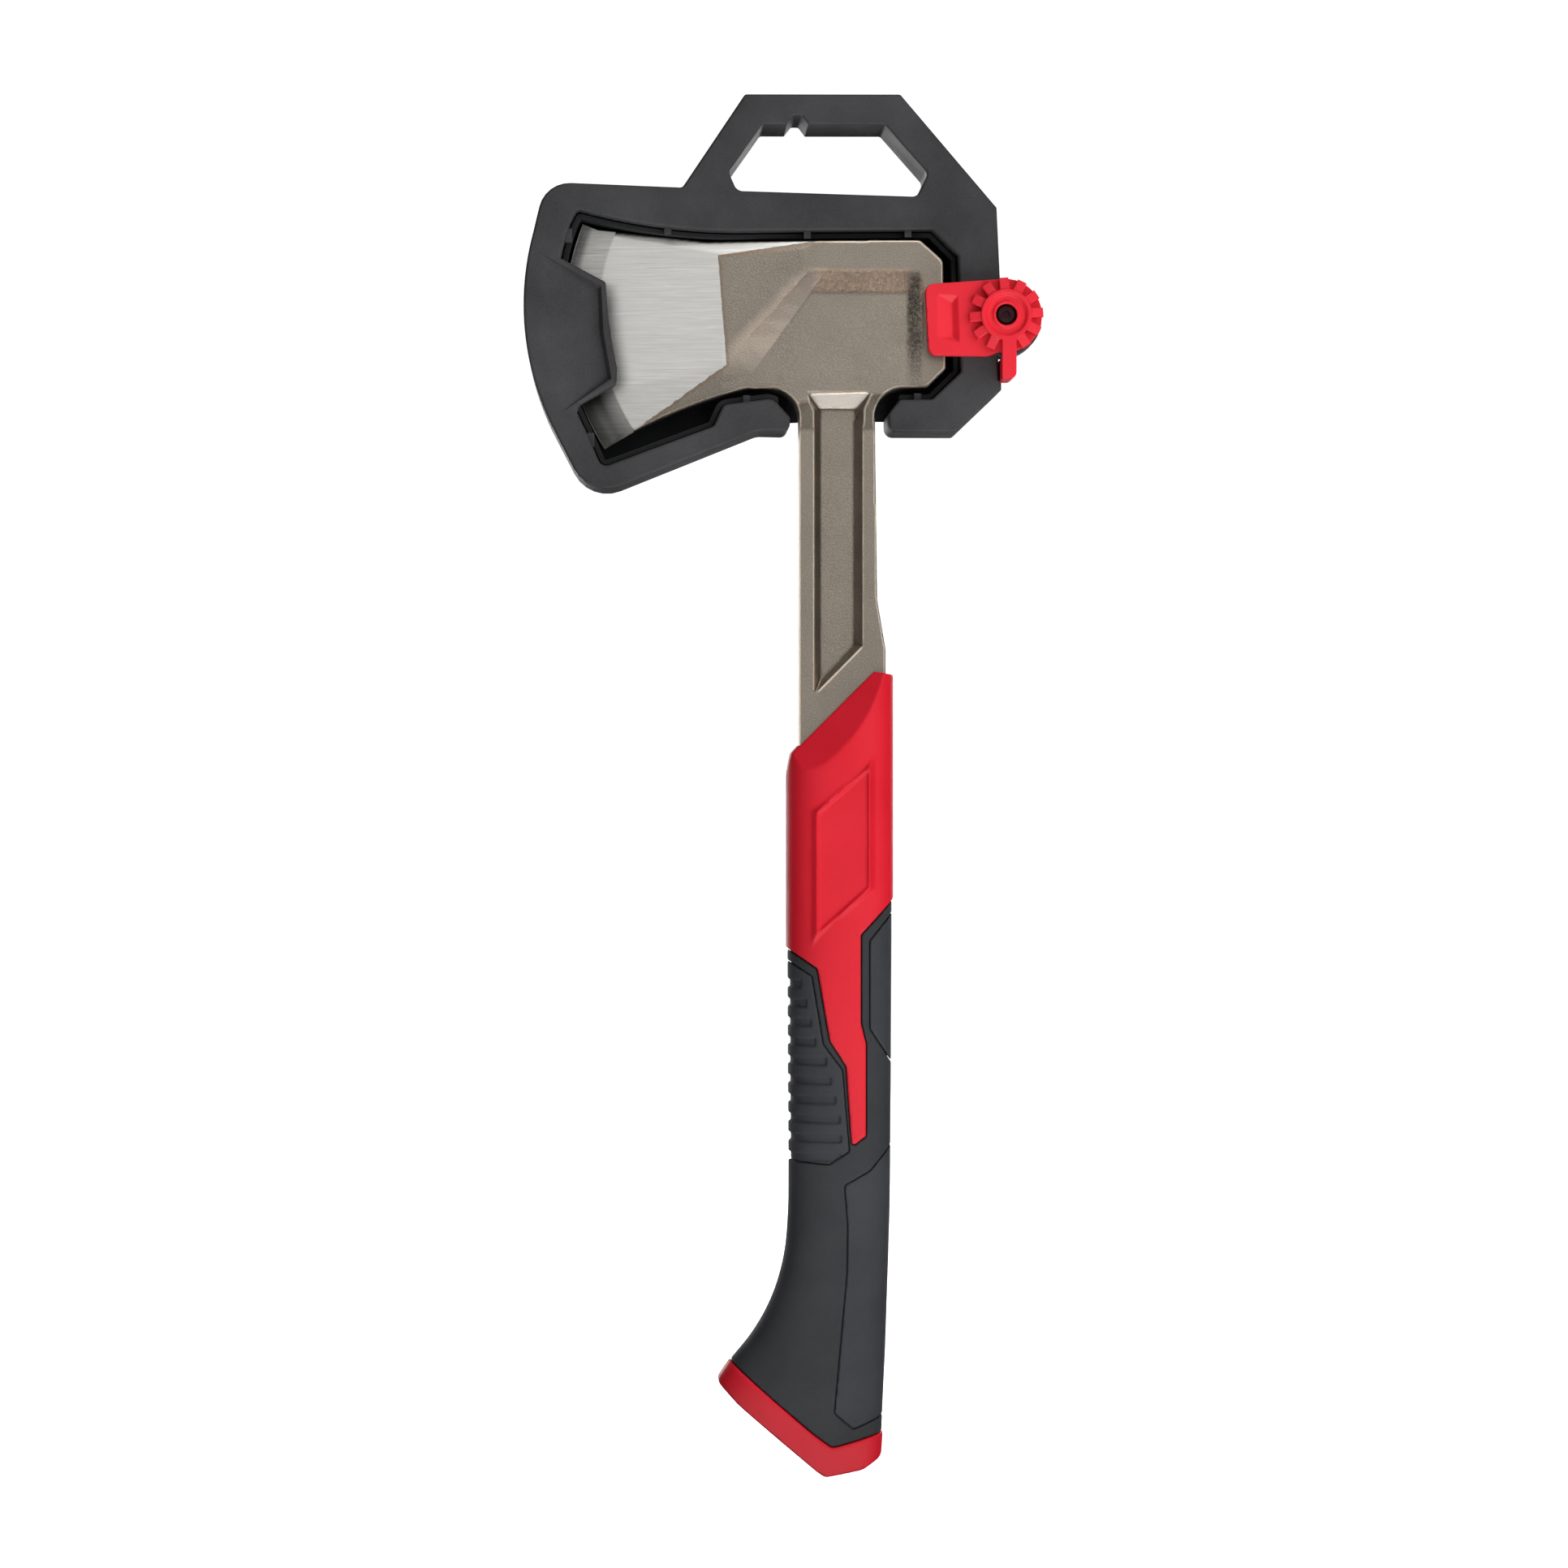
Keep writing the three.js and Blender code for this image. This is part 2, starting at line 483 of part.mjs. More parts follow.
function gripPieces() {
  const outer = gripForm();
  const rubberOuter = gripForm(OVERMOULD_INSET);
  const core = gripForm(OVERMOULD_THICKNESS);
  const coreClear = gripForm(OVERMOULD_THICKNESS - FIT);
  const butt = region(BUTT);
  const capTop = region(CAP_TOP);
  const capClear = region(grown(CAP_TOP, FIT));

  const hole = plate(grown(HAFT, FIT), -HAFT_HALF - FIT, HAFT_HALF + FIT).add(box(
    TANG.left - FIT, TANG.right + FIT, -TANG.half - FIT, TANG.half + FIT,
    TANG.bottom - FIT, TANG.top + 1,
  ));
  const badge = plate(BADGE, -REACH, -BADGE_FLOOR).add(plate(BADGE, BADGE_FLOOR, REACH));
  const sleeve = outer.intersect(region(RED_REGION)).add(loft(BADGE_BORDER))
    .add(loft(BADGE_BORDER.map((ring) => ring.map(mirrorY))));
  const coreTop = region([[-60, -150], [60, -150], [60, -240], [-60, -240]]);
  const redCore = sleeve.add(core.subtract(coreTop))
    .intersect(butt).subtract(capClear).subtract(hole).subtract(region(SLEEVE_MOUTH))
    .subtract(halfSpace(...SLEEVE_CHAMFER))
    .subtract(halfSpace(...SLEEVE_CHAMFER.map(mirrorY))).subtract(badge);

  const pads = [FRONT_PAD, UPPER_BACK_PAD, LOWER_BACK_PAD];
  const rubber = rubberOuter.subtract(coreClear).intersect(butt).subtract(capClear)
    .subtract(region(grown(RED_REGION, FIT)));
  const overmould = pads.reduce((body, pad) => body.subtract(region(grown(pad, FIT))), rubber);

  const ribSkin = gripForm(-2).subtract(gripForm(OVERMOULD_INSET + RIB_DEPTH));
  // The slots get longer down the grip, as the pad gets wider.
  const ribs = Array.from({ length: RIB_COUNT }, (_, i) => {
    const z = RIB_TOP - RIB_PITCH * i;
    const right = Math.min(14.2, 1.6 + 1.45 * i + (i > 3 ? 2.0 : 0));
    return region([
      [-20, z + RIB_TILT], [-20, z + RIB_TILT - RIB_SLOT], [right, z - RIB_SLOT], [right, z],
    ]);
  }).reduce((all, slot) => all.add(slot));
  const [frontPad, upperPad, lowerPad] = pads.map((pad) => rubber.intersect(region(pad)));

  const cap = gripForm().intersect(butt).intersect(capTop);
  return {
    redCore, overmould, cap, upperPad, lowerPad,
    frontPad: frontPad.subtract(ribs.intersect(ribSkin)),
  };
}

// ---------------------------------------------------------------- sheath

function boltHole([x, z], radius, front, back) {
  return disc([x, z], radius, front, back, 12);
}

// The liner's back flange: it follows the pocket, with a lug at each screw.
function flangeBlank(extra, front, back) {
  const rim = plate(grown(POCKET, FLANGE_WIDTH + extra), front, back);
  const lugs = SCREWS.map((at) => disc(at, SCREW_LUG + extra, front, back, 14));
  const below = box(-9, 36, front - 1, back + 1, -130, MOUTH_FLOOR_Z - extra);
  const lowLug = disc(SCREWS[5], SCREW_LUG + extra, front - 2, back + 2, 14);
  return lugs.reduce((body, lug) => body.add(lug), rim).subtract(below.subtract(lowLug));
}

function sheathFrame() {
  const lip = plate(LIP, SHEATH_FRONT, SHEATH_FRONT + LIP_THICKNESS);
  const ear = disc([PIVOT[0] - 0.2, PIVOT[1] - 0.6], EAR_RADIUS, SHEATH_FRONT, EAR_BACK, 28);
  const [halfWide, halfHigh] = CATCH_HALF;
  const catches = CATCHES.map(([x, z]) => (
    box(x - halfWide, x + halfWide, -11, TRAY_RIM_FRONT - FIT, z - halfHigh, z + halfHigh)
  ));
  let frame = plate([...SHEATH_OUTER, ...POCKET], SHEATH_FRONT, SHEATH_BACK)
    .subtract(plate(WINDOW, SHEATH_FRONT - 1, SHEATH_BACK + 1))
    .subtract(flangeBlank(FIT, FLANGE_FRONT - FIT, SHEATH_BACK + 1))
    .add(ear).add(lip).subtract(recess(LIP_PANEL, -1, 16));
  frame = catches.reduce((body, block) => body.add(block), frame);
  frame = SCREWS.reduce((body, at) => body.subtract(boltHole(at, SCREW_HOLE, 4, 14)), frame);
  return frame
    .subtract(disc(PIVOT, 5.4, SHEATH_FRONT - 1, SHEATH_FRONT + 1.6))
    .subtract(disc(PIVOT, 3.5, SHEATH_FRONT - 1, EAR_BACK - 1.2));
}

function pocketTray() {
  const wallOuter = grown(POCKET, -FIT);
  const wallInner = grown(POCKET, -FIT - TRAY_WALL);
  const mouth = box(-6, 33, TRAY_RIM_FRONT - 1, TRAY_FLOOR_FRONT, -110, -88.5);
  const tray = plate(wallOuter, TRAY_RIM_FRONT, FLANGE_BACK)
    .subtract(plate(wallInner, TRAY_RIM_FRONT - 1, TRAY_FLOOR_FRONT))
    .subtract(mouth)
    .add(flangeBlank(0, FLANGE_FRONT, FLANGE_BACK));
  return SCREWS.reduce((body, at) => (
    body.subtract(boltHole(at, SCREW_HOLE, 10, 16))
      .subtract(boltHole(at, SCREW_HOLE + 1, FLANGE_BACK - 1.5, 16))
  ), tray);
}

function trayScrew([x, z]) {
  const shank = 1.2, head = 2.2, headFront = FLANGE_BACK - 1.3, tip = 6.0;
  const body = turned([x, z], [
    [0, tip], [shank, tip + 1.2], [shank, headFront], [head, headFront],
    [head, FLANGE_BACK - 0.1], [0, FLANGE_BACK - 0.1],
  ], 12);
  const slot = (w, d) => box(x - w, x + w, FLANGE_BACK - 0.8, FLANGE_BACK + 1, z - d, z + d);
  return body.subtract(slot(1.2, 0.25)).subtract(slot(0.25, 1.2));
}

// ---------------------------------------------------------------- latch

function latchArm() {
  const scoop = recess(THUMB_SCOOP, -1, 20);
  return plate(LATCH_ARM, ARM_FRONT, ARM_BACK)
    .add(disc(PIVOT, ARM_END_RADIUS, ARM_FRONT, ARM_BACK, 32))
    .subtract(scoop)
    .subtract(disc(PIVOT, PIVOT_BORE, ARM_FRONT - 1, ARM_BACK + 1));
}

function latchDial() {
  const back = ARM_FRONT - FIT;
  const hub = turned(PIVOT, [
    [PIVOT_BORE, back], [DIAL_RIM, back], [DIAL_RIM, DIAL_FRONT], [6.9, DIAL_FRONT],
    [6.0, DIAL_FRONT + 1.2], [4.2, DIAL_FRONT + 1.2], [PIVOT_BORE + 0.3, DIAL_FRONT + 0.7],
    [PIVOT_BORE, DIAL_FRONT + 0.8], [PIVOT_BORE, back],
  ], 24);
  const teeth = Array.from({ length: DIAL_TEETH }, (_, i) => {
    const [inner, outer, half] = [DIAL_RIM - 0.6, TOOTH_OUTER, TOOTH_HALF];
    const low = TOOTH_FRONT + TOOTH_FALL;
    const tooth = loft([
      [[inner, back, -half], [outer, back, -half], [outer, back, half], [inner, back, half]],
      [[inner, TOOTH_FRONT, -half], [outer - 0.3, low, -half],
        [outer - 0.3, low, half], [inner, TOOTH_FRONT, half]],
    ]);
    return tooth.rotate([0, -4 - 360 / DIAL_TEETH * i, 0]).translate([PIVOT[0], 0, PIVOT[1]]);
  });
  // The thumb tab: a bar beside the hub, then a deep end that reaches back past the sheath's wall.
  const { left, right, low: tabLow } = TAB;
  const tab = (top, front, end) => plate([
    [left, top], [right, top], [right, tabLow, 2.0], [left, tabLow, 0.4],
  ], front, end);
  const tabBar = tab(PIVOT[1] - DIAL_RIM + 0.8, DIAL_FRONT, back);
  const tabDeep = tab(TAB.shoulder, DIAL_FRONT + 1, TAB.back);
  return teeth.reduce((body, tooth) => body.add(tooth), hub).add(tabBar).add(tabDeep);
}

function pivotBush() {
  return ring(PIVOT, HARDWARE_BORE, PIVOT_BORE - FIT, ARM_FRONT + 0.5, ARM_BACK);
}

function pivotWasher() {
  return ring(PIVOT, HARDWARE_BORE, PIVOT_BORE - FIT, ARM_FRONT - 0.4, ARM_FRONT + 0.2);
}

function pivotScrew() {
  const head = PIVOT_BORE - FIT, headBack = ARM_FRONT - 0.7, headFront = headBack - 1.6;
  const hex = 1.3;
  const socket = new THREE.CylinderGeometry(hex, hex, 1.2, 6);
  return turned(PIVOT, [
    [0, headFront], [head - 0.5, headFront], [head, headFront + 0.4], [head, headBack],
    [PIVOT_SHANK, headBack], [PIVOT_SHANK, -5.4], [PIVOT_SHANK - 0.5, -4.6], [0, -4.6],
  ]).subtract(solid(socket.translate(PIVOT[0], headFront + 0.4, PIVOT[1])));
}

function detentSpring() {
  return ring(PIVOT, 3.7, 5.0, SHEATH_FRONT + 0.3, SHEATH_FRONT + 1.2);
}

function threadedInsert() {
  return ring(PIVOT, HARDWARE_BORE, 3.2, SHEATH_FRONT + 2.0, EAR_BACK - 1.6);
}

// ---------------------------------------------------------------- assembly

const hatchet = new THREE.Group();
const grip = gripPieces();
hatchet.add(
  meshOf('hatchet_forging', forging(), coatedSteel),
  meshOf('grip_core', grip.redCore, gripRed),
  meshOf('grip_overmould', grip.overmould, softRubber),
  meshOf('front_rib_pad', grip.frontPad, softRubber),
  meshOf('upper_back_pad', grip.upperPad, softRubber),
  meshOf('lower_back_pad', grip.lowerPad, softRubber),
  meshOf('butt_cap', grip.cap, gripRed),
);

const sheath = new THREE.Group();
sheath.add(
  meshOf('sheath_frame', sheathFrame(), sheathPlastic),
  meshOf('pocket_tray', pocketTray(), linerPlastic),
  meshOf('threaded_insert', threadedInsert(), brassMetal),
  meshOf('detent_spring', detentSpring(), zincSteel),
  meshOf('pivot_bush', pivotBush(), zincSteel),
  meshOf('pivot_washer', pivotWasher(), zincSteel),
  meshOf('pivot_screw', pivotScrew(), blackSteel),
);
SCREWS.forEach((at, i) => sheath.add(meshOf(`tray_screw_${i + 1}`, trayScrew(at), zincSteel)));

const latch = new THREE.Group();
latch.add(
  meshOf('latch_arm', latchArm(), latchRed),
  meshOf('latch_dial', latchDial(), latchRed),
);

const part = new THREE.Group();
part.add(hatchet, sheath, latch);

export default part;
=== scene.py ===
import math

import bmesh
import bpy
import numpy as np
from mathutils import Matrix, Vector


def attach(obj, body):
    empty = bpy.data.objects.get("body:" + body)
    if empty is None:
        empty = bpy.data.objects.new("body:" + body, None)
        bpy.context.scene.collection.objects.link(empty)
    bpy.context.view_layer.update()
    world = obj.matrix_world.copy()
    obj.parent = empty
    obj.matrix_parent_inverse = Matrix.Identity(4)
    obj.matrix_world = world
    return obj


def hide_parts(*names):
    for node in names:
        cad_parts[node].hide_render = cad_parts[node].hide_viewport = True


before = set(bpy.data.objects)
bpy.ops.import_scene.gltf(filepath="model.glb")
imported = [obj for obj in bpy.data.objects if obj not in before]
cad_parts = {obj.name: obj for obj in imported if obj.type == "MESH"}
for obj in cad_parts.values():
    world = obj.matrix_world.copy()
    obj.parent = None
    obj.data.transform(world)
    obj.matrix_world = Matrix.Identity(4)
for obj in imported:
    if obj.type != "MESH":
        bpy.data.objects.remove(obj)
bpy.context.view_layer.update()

# Shapes are worked out in millimetres in the row frame and scaled to metres once, in piece().
MM = 0.001
CORNER_STEPS = 6
ARC_STEPS = 24

FIT = 0.3
SHEATH_FRONT, SHEATH_BACK = -13.5, 15.5
LIP_THICKNESS = 5.0
TRAY_RIM_FRONT, TRAY_WALL, TRAY_FLOOR_FRONT = -7.7, 1.8, 11.4
FLANGE_FRONT, FLANGE_BACK, FLANGE_WIDTH = 12.8, 15.2, 4.0
SCREW_BOSS, SCREW_HOLE, SCREW_HEAD = 3.7, 1.5, 2.5
MOUTH_FLOOR_Z = -96.0
EDGE_CENTRE, EDGE_RADIUS, EDGE_HALF = (3.5, -63.1), 77.8, 0.25
BEVEL_RADIUS, BEVEL_HALF = 67.3, 2.5
BIT_SHOULDER_X, BIT_SHOULDER_HALF, CHEEK_X, HEAD_HALF = -24.0, 8.4, 2.0, 11.0
HAFT_HALF = 6.5
TANG = (4.5, 21.5, 4.0, -212.0, -392.0)
GRIP_HALF, GRIP_SQUARENESS = 13.5, 2.4
OVERMOULD_THICKNESS, OVERMOULD_INSET = 2.6, 0.5
SEAM_DEPTH = 1.2
RIB_COUNT, RIB_TOP, RIB_PITCH, RIB_DEPTH = 10, -277.3, 6.2, 0.8
PIVOT = (66.5, -64.3)
ARM_BACK, ARM_FRONT, ARM_END_RADIUS = -13.8, -18.0, 11.7
DIAL_FRONT, DIAL_RIM, DIAL_TEETH = -21.6, 8.1, 12
TOOTH_OUTER, TOOTH_FRONT, TOOTH_HALF = 12.1, -21.2, 1.55
TAB_LEFT, TAB_RIGHT, TAB_END = 65.1, 69.7, -84.8
PIVOT_BORE = 3.4
REACH = 30.0                         # half depth of a prism that goes right through the grip

# ------------------------------------------------------------------ outlines: (x, z, corner radius)
# ("via", x, z) bends the side between its neighbours into an arc through that point.

SHEATH_OUTER = [
    (-2.6, -101.3, 3.0), (-12.5, -101.1, 6.0), (-66.8, -123.0, 12.0), (-79.0, -99.4),
    ("via", -87.8, -63.0), (-84.8, -38.0), (-80.9, -21.6, 10.0), (-37.0, -23.2, 1.5),
    (-16.9, 6.8, 1.2), (33.0, 7.0, 1.2), (64.0, -29.2, 1.2), (65.3, -57.0), (65.3, -71.0),
    (64.5, -72.5), (64.5, -84.6), (65.5, -85.6), (65.5, -87.8, 0.8), (51.4, -101.3, 1.6),
    (29.2, -101.3, 3.0),
]
POCKET = [
    (29.2, -95.5, 1.5), (32.8, -91.0, 2.0), (43.3, -90.8, 1.5), (52.6, -81.8, 1.5),
    (51.6, -44.7, 0.8), (43.3, -36.4, 1.0), (-12.0, -37.0), ("via", -42.9, -35.7),
    (-70.6, -30.3, 2.4), (-72.8, -34.5), ("via", -77.5, -63.1), (-68.2, -100.6),
    (-62.8, -113.0, 2.5), (-27.0, -99.7, 2.0), (-23.8, -92.8, 2.4), (-8.0, -90.7, 4.0),
    (-2.4, -96.8, 1.5),
]
WINDOW = [
    (-11.3, -2.9, 1.0), (-3.4, -2.9, 0.6), (-1.2, 0.0, 1.0), (1.2, 0.0, 1.0), (3.4, -2.9, 0.6),
    (28.0, -2.8, 1.5), (41.8, -18.4, 2.0), (38.4, -25.8, 2.5), (-19.5, -24.2, 3.0),
    (-22.1, -18.2, 2.0),
]
LIP = [
    (-79.0, -44.3), (-61.5, -53.6, 1.8), ("via", -60.2, -68.0), (-57.9, -81.0),
    (-58.0, -86.2, 2.0), (-69.8, -93.0, 1.5), (-72.0, -99.5), ("via", -79.5, -72.0),
]
LIP_PANEL = {
    "rim": [(-82.4, -44.5, 13.5), (-62.9, -55.0, 13.5), (-62.2, -70.0, 13.5), (-59.6, -84.6, 13.5),
            (-75.3, -95.3, 13.5), (-83.0, -71.0, 13.5)],
    "floor": [(-82.2, -44.7, 13.4), (-64.0, -55.7, 11.4), (-63.5, -70.0, 11.2),
              (-60.9, -84.2, 11.4), (-75.1, -95.1, 13.4), (-82.8, -71.0, 13.4)],
}
HEAD = [
    (-68.9, -33.6), (-64.0, -35.7), (-28.8, -39.9, 6.0), (39.6, -39.5, 1.5), (46.9, -46.0, 2.5),
    (47.8, -80.9, 1.0), (41.6, -86.9, 1.5), (33.0, -87.0), ("via", 27.3, -90.0), (25.1, -97.5),
    (25.1, -100.0), (0.8, -100.0), (0.8, -97.0), ("via", -1.7, -90.3), (-7.7, -87.2),
    (-16.0, -87.3), ("via", -38.5, -94.4), (-61.8, -106.3), ("via", -74.6, -66.0),
]
HAFT = [
    (0.8, -86.0), (25.1, -86.0), (26.0, -155.0, 20.0), (28.7, -171.0, 8.0),
    (28.7, -215.0), (0.8, -215.0),
]
CHEEK_RECESS = {
    "rim": [(3.6, -49.6, 11.0), (39.7, -49.6, 11.0), (40.3, -92.0, 11.0), (-34.0, -92.0, 7.5)],
    "floor": [(5.0, -56.2, 9.0), (35.8, -56.2, 9.0), (36.4, -92.0, 10.6), (-21.0, -92.0, 8.2)],
}
RAMP = {
    "rim": [(2.8, -88.0, 10.5), (23.9, -88.0, 10.5), (19.8, -97.0, 6.5), (7.0, -97.0, 6.5)],
    "floor": [(7.2, -93.2, 3.4), (18.9, -93.2, 3.4), (19.3, -97.0, 3.4), (8.0, -97.0, 3.4)],
}
CHANNEL = {
    "rim": [(5.7, -93.2, 6.5), (21.3, -93.2, 6.5), (21.3, -169.8, 6.5), (5.7, -185.6, 6.5)],
    "floor": [(7.5, -95.5, 3.4), (18.6, -95.5, 3.4), (18.6, -169.2, 3.4), (7.5, -181.2, 3.4)],
}
BADGE = [(22.9, -209.3, 0.6), (22.9, -247.6, 0.6), (6.3, -262.4, 0.6), (6.3, -223.8, 0.6)]
BADGE_BORDER = [
    [(25.2, -11.1, -204.2), (14.6, -13.3, -213.5), (4.0, -11.6, -222.8), (4.0, -11.6, -267.5),
     (14.6, -13.3, -258.1), (25.2, -11.1, -248.6)],
    [(22.9, -13.9, -209.3), (14.6, -14.1, -216.5), (6.3, -13.9, -223.8), (6.3, -13.9, -262.4),
     (14.6, -14.1, -255.0), (22.9, -13.9, -247.6)],
]
BADGE_FLOOR = 12.9
SLEEVE_MOUTH = [
    (-20, -212.5), (-3.5, -212.5), (-1.9, -204.6, 2.0), (1.0, -201.4), (24.5, -178.0),
    (40, -180.6), (40, -150), (-20, -150),
]
SLEEVE_CHAMFER = [(3.1, -7, -199.3), (24.3, -7, -178.1), (7, -13.6, -210.5), (0, -40, -180)]
# Grip stations from the top down: left end, right end, half depth.
GRIP_STATIONS = [
    ((-3.3, -172.0), (31.4, -172.0), 13.5), ((-3.3, -262.0), (31.4, -262.0), 13.5),
    ((-3.0, -334.0), (31.0, -338.0), 13.5), ((-3.3, -355.0), (30.5, -362.0), 13.5),
    ((-4.9, -368.5), (29.9, -380.0), 13.5), ((-8.8, -380.8), (29.3, -397.0), 13.7),
    ((-15.0, -391.8), (28.6, -412.0), 14.0), ((-24.9, -404.3), (28.0, -428.0), 14.4),
    ((-27.5, -412.0), (27.8, -450.0), 14.6),
]
BUTT = [
    (-40.0, -160.0), (40.0, -160.0), (40.0, -423.0), (28.0, -424.0), (27.4, -431.4, 3.0),
    (21.2, -435.0, 3.0), (8.4, -437.0, 2.5), (-19.3, -413.6, 4.0), (-25.8, -406.8, 2.0),
    (-20.4, -398.8), (-30.0, -390.0),
]
CAP_TOP = [
    (-32.0, -391.0), (-19.6, -402.0, 2.0), (4.5, -422.8, 2.0), (11.0, -427.6, 2.0),
    (29.5, -423.2), (40.0, -423.0), (40.0, -460.0), (-40.0, -460.0),
]
RED_REGION = [
    (-10.0, -160.0), (40.0, -160.0), (40.0, -246.0), (31.4, -251.2), (20.3, -262.8, 1.0),
    (20.3, -291.2), (22.0, -298.0), (22.0, -327.4), (17.4, -330.8, 0.8), (15.6, -305.0),
    (10.4, -296.9), (6.4, -273.6, 0.8), (-3.0, -267.2), (-10.0, -263.0),
]
FRONT_PAD = [
    (-10.0, -271.6), (-2.5, -271.6), (4.5, -276.2, 1.0), (8.1, -298.0), (14.3, -306.3),
    (16.5, -332.3, 0.8), (10.2, -336.4, 0.8), (-10.0, -335.0),
]
UPPER_BACK_PAD = [
    (40.0, -254.0), (31.0, -256.0), (23.4, -264.8, 0.8), (23.4, -293.0), (30.5, -303.6),
    (40.0, -306.0),
]
LOWER_BACK_PAD = [
    (40.0, -324.0), (30.8, -330.6), (23.5, -338.8), (15.2, -343.4, 0.8), (16.2, -356.0),
    (16.0, -372.0), (11.9, -416.4, 0.8), (18.0, -421.6, 0.8), (27.5, -418.0), (40.0, -413.0),
]
CATCHES = [
    (-73.4, -38.5), (-41.6, -35.6), (3.2, -36.9), (35.6, -36.4), (-66.3, -104.0), (-16.3, -91.8),
    (38.7, -91.0),
]
SCREWS = [(-50, -29.4), (-5, -30.9), (38, -30.4), (58.4, -79), (-82.0, -63.1), (-14, -95.6)]
LATCH_ARM = [
    (40.6, -54.4, 2.8), (64.6, -52.7), ("via", 78.2, -64.3), (64.6, -75.9),
    (61.0, -77.3, 2.0), (41.8, -77.2, 2.8),
]
THUMB_SCOOP = {
    "rim": [(44.4, -57.5, 18.0), (51.2, -58.0, 18.0), (51.7, -73.2, 18.0), (44.7, -72.2, 18.0)],
    "floor": [(44.6, -58.2, 17.9), (49.3, -60.2, 16.3), (49.6, -71.2, 16.3), (44.9, -71.7, 17.9)],
}
# Lines on the head: where the coating ends, and the sides of its two patches of painted highlight.
COAT_EDGE = ((-25.4, -44.2), (-22.9, -76.6))
BEARD_EDGE = ((-53.8, -101.4), (-23.5, -80.0))
TOP_FACET_EDGE = ((-25.5, -44.3), (8.0, -39.7))
SLOPE_SIDES = ((-15.5, -84.3), (4.5, -56.5)), ((3.2, -49.5), (-19.8, -73.9))
STEP_SIDES = ((2.9, -88.1), (6.8, -93.4)), ((19.9, -93.4), (23.7, -88.1))


# ------------------------------------------------------------------ outline helpers

def point_of(entry):
    return Vector(entry[1:3]) if entry[0] == "via" else Vector(entry[0:2])


def arc_through(start, middle, end):
    (ax, az), (bx, bz), (cx, cz) = start, middle, end
    d = 2 * (ax * (bz - cz) + bx * (cz - az) + cx * (az - bz))
    a2, b2, c2 = ax * ax + az * az, bx * bx + bz * bz, cx * cx + cz * cz
    x = (a2 * (bz - cz) + b2 * (cz - az) + c2 * (az - bz)) / d
    z = (a2 * (cx - bx) + b2 * (ax - cx) + c2 * (bx - ax)) / d
    radius = math.hypot(ax - x, az - z)
    first = math.atan2(az - z, ax - x)
    to_middle = (math.atan2(bz - z, bx - x) - first) % math.tau
    to_end = (math.atan2(cz - z, cx - x) - first) % math.tau
    sweep = to_end if to_middle < to_end else to_end - math.tau
    angles = [first + sweep * i / ARC_STEPS for i in range(1, ARC_STEPS)]
    return [(x + radius * math.cos(a), z + radius * math.sin(a), 0) for a in angles]


def rounded_corner(before, corner, after, radius):
    at = Vector(corner)
    to_before, to_after = Vector(before) - at, Vector(after) - at
    room = 0.49 * min(to_before.length, to_after.length)
    to_before.normalize()
    to_after.normalize()
    half = math.acos(max(-1.0, min(1.0, to_before.dot(to_after)))) / 2
    reach = min(radius / math.tan(half), room)
    r = reach * math.tan(half)
    centre = at + (to_before + to_after).normalized() * (r / math.sin(half))
    first, last = at + to_before * reach - centre, at + to_after * reach - centre
    sweep = math.atan2(first.x * last.y - first.y * last.x, first.dot(last))
    turns = [Matrix.Rotation(sweep * i / CORNER_STEPS, 2) @ first for i in range(CORNER_STEPS + 1)]
    return [(centre.x + t.x, centre.y + t.y) for t in turns]


def grown(entries, distance):
    """Every side of the closed outline moved outwards by a distance."""
    points = [point_of(e) for e in entries]
    count = len(points)
    area = sum(points[i].x * points[(i + 1) % count].y - points[(i + 1) % count].x * points[i].y
               for i in range(count))
    out = math.copysign(distance, area * distance) if distance else 0.0
    moved = []
    for i, entry in enumerate(entries):
        p, before, after = points[i], points[i - 1], points[(i + 1) % count]
        a, b = (p - before).normalized(), (after - p).normalized()
        mitre = 1 / (1 + a.dot(b))
        x, z = p.x + out * (a.y + b.y) * mitre, p.y - out * (a.x + b.x) * mitre
        if entry[0] == "via":
            moved.append(("via", x, z))
            continue
        radius = entry[2] if len(entry) > 2 else 0
        if radius:
            turn = math.copysign(1, a.x * b.y - a.y * b.x)
            radius = max(0.2, radius + turn * out)
        moved.append((x, z, radius))
    return moved


def outline(entries):
    corners = []
    for i, entry in enumerate(entries):
        if entry[0] == "via":
            after = entries[(i + 1) % len(entries)]
            corners += arc_through(point_of(entries[i - 1]), point_of(entry), point_of(after))
        else:
            corners.append(entry)
    points = []
    for i, corner in enumerate(corners):
        if len(corner) > 2 and corner[2]:
            points += rounded_corner(corners[i - 1][:2], corner[:2],
                                     corners[(i + 1) % len(corners)][:2], corner[2])
        else:
            points.append(corner[:2])
    return points


def inside(point, polygon):
    """Whether a point lies in a closed outline."""
    odd = False
    for a, b in zip(polygon, polygon[1:] + polygon[:1]):
        if (a.y > point.y) != (b.y > point.y):
            odd ^= point.x < a.x + (point.y - a.y) * (b.x - a.x) / (b.y - a.y)
    return odd


# ------------------------------------------------------------------ solids

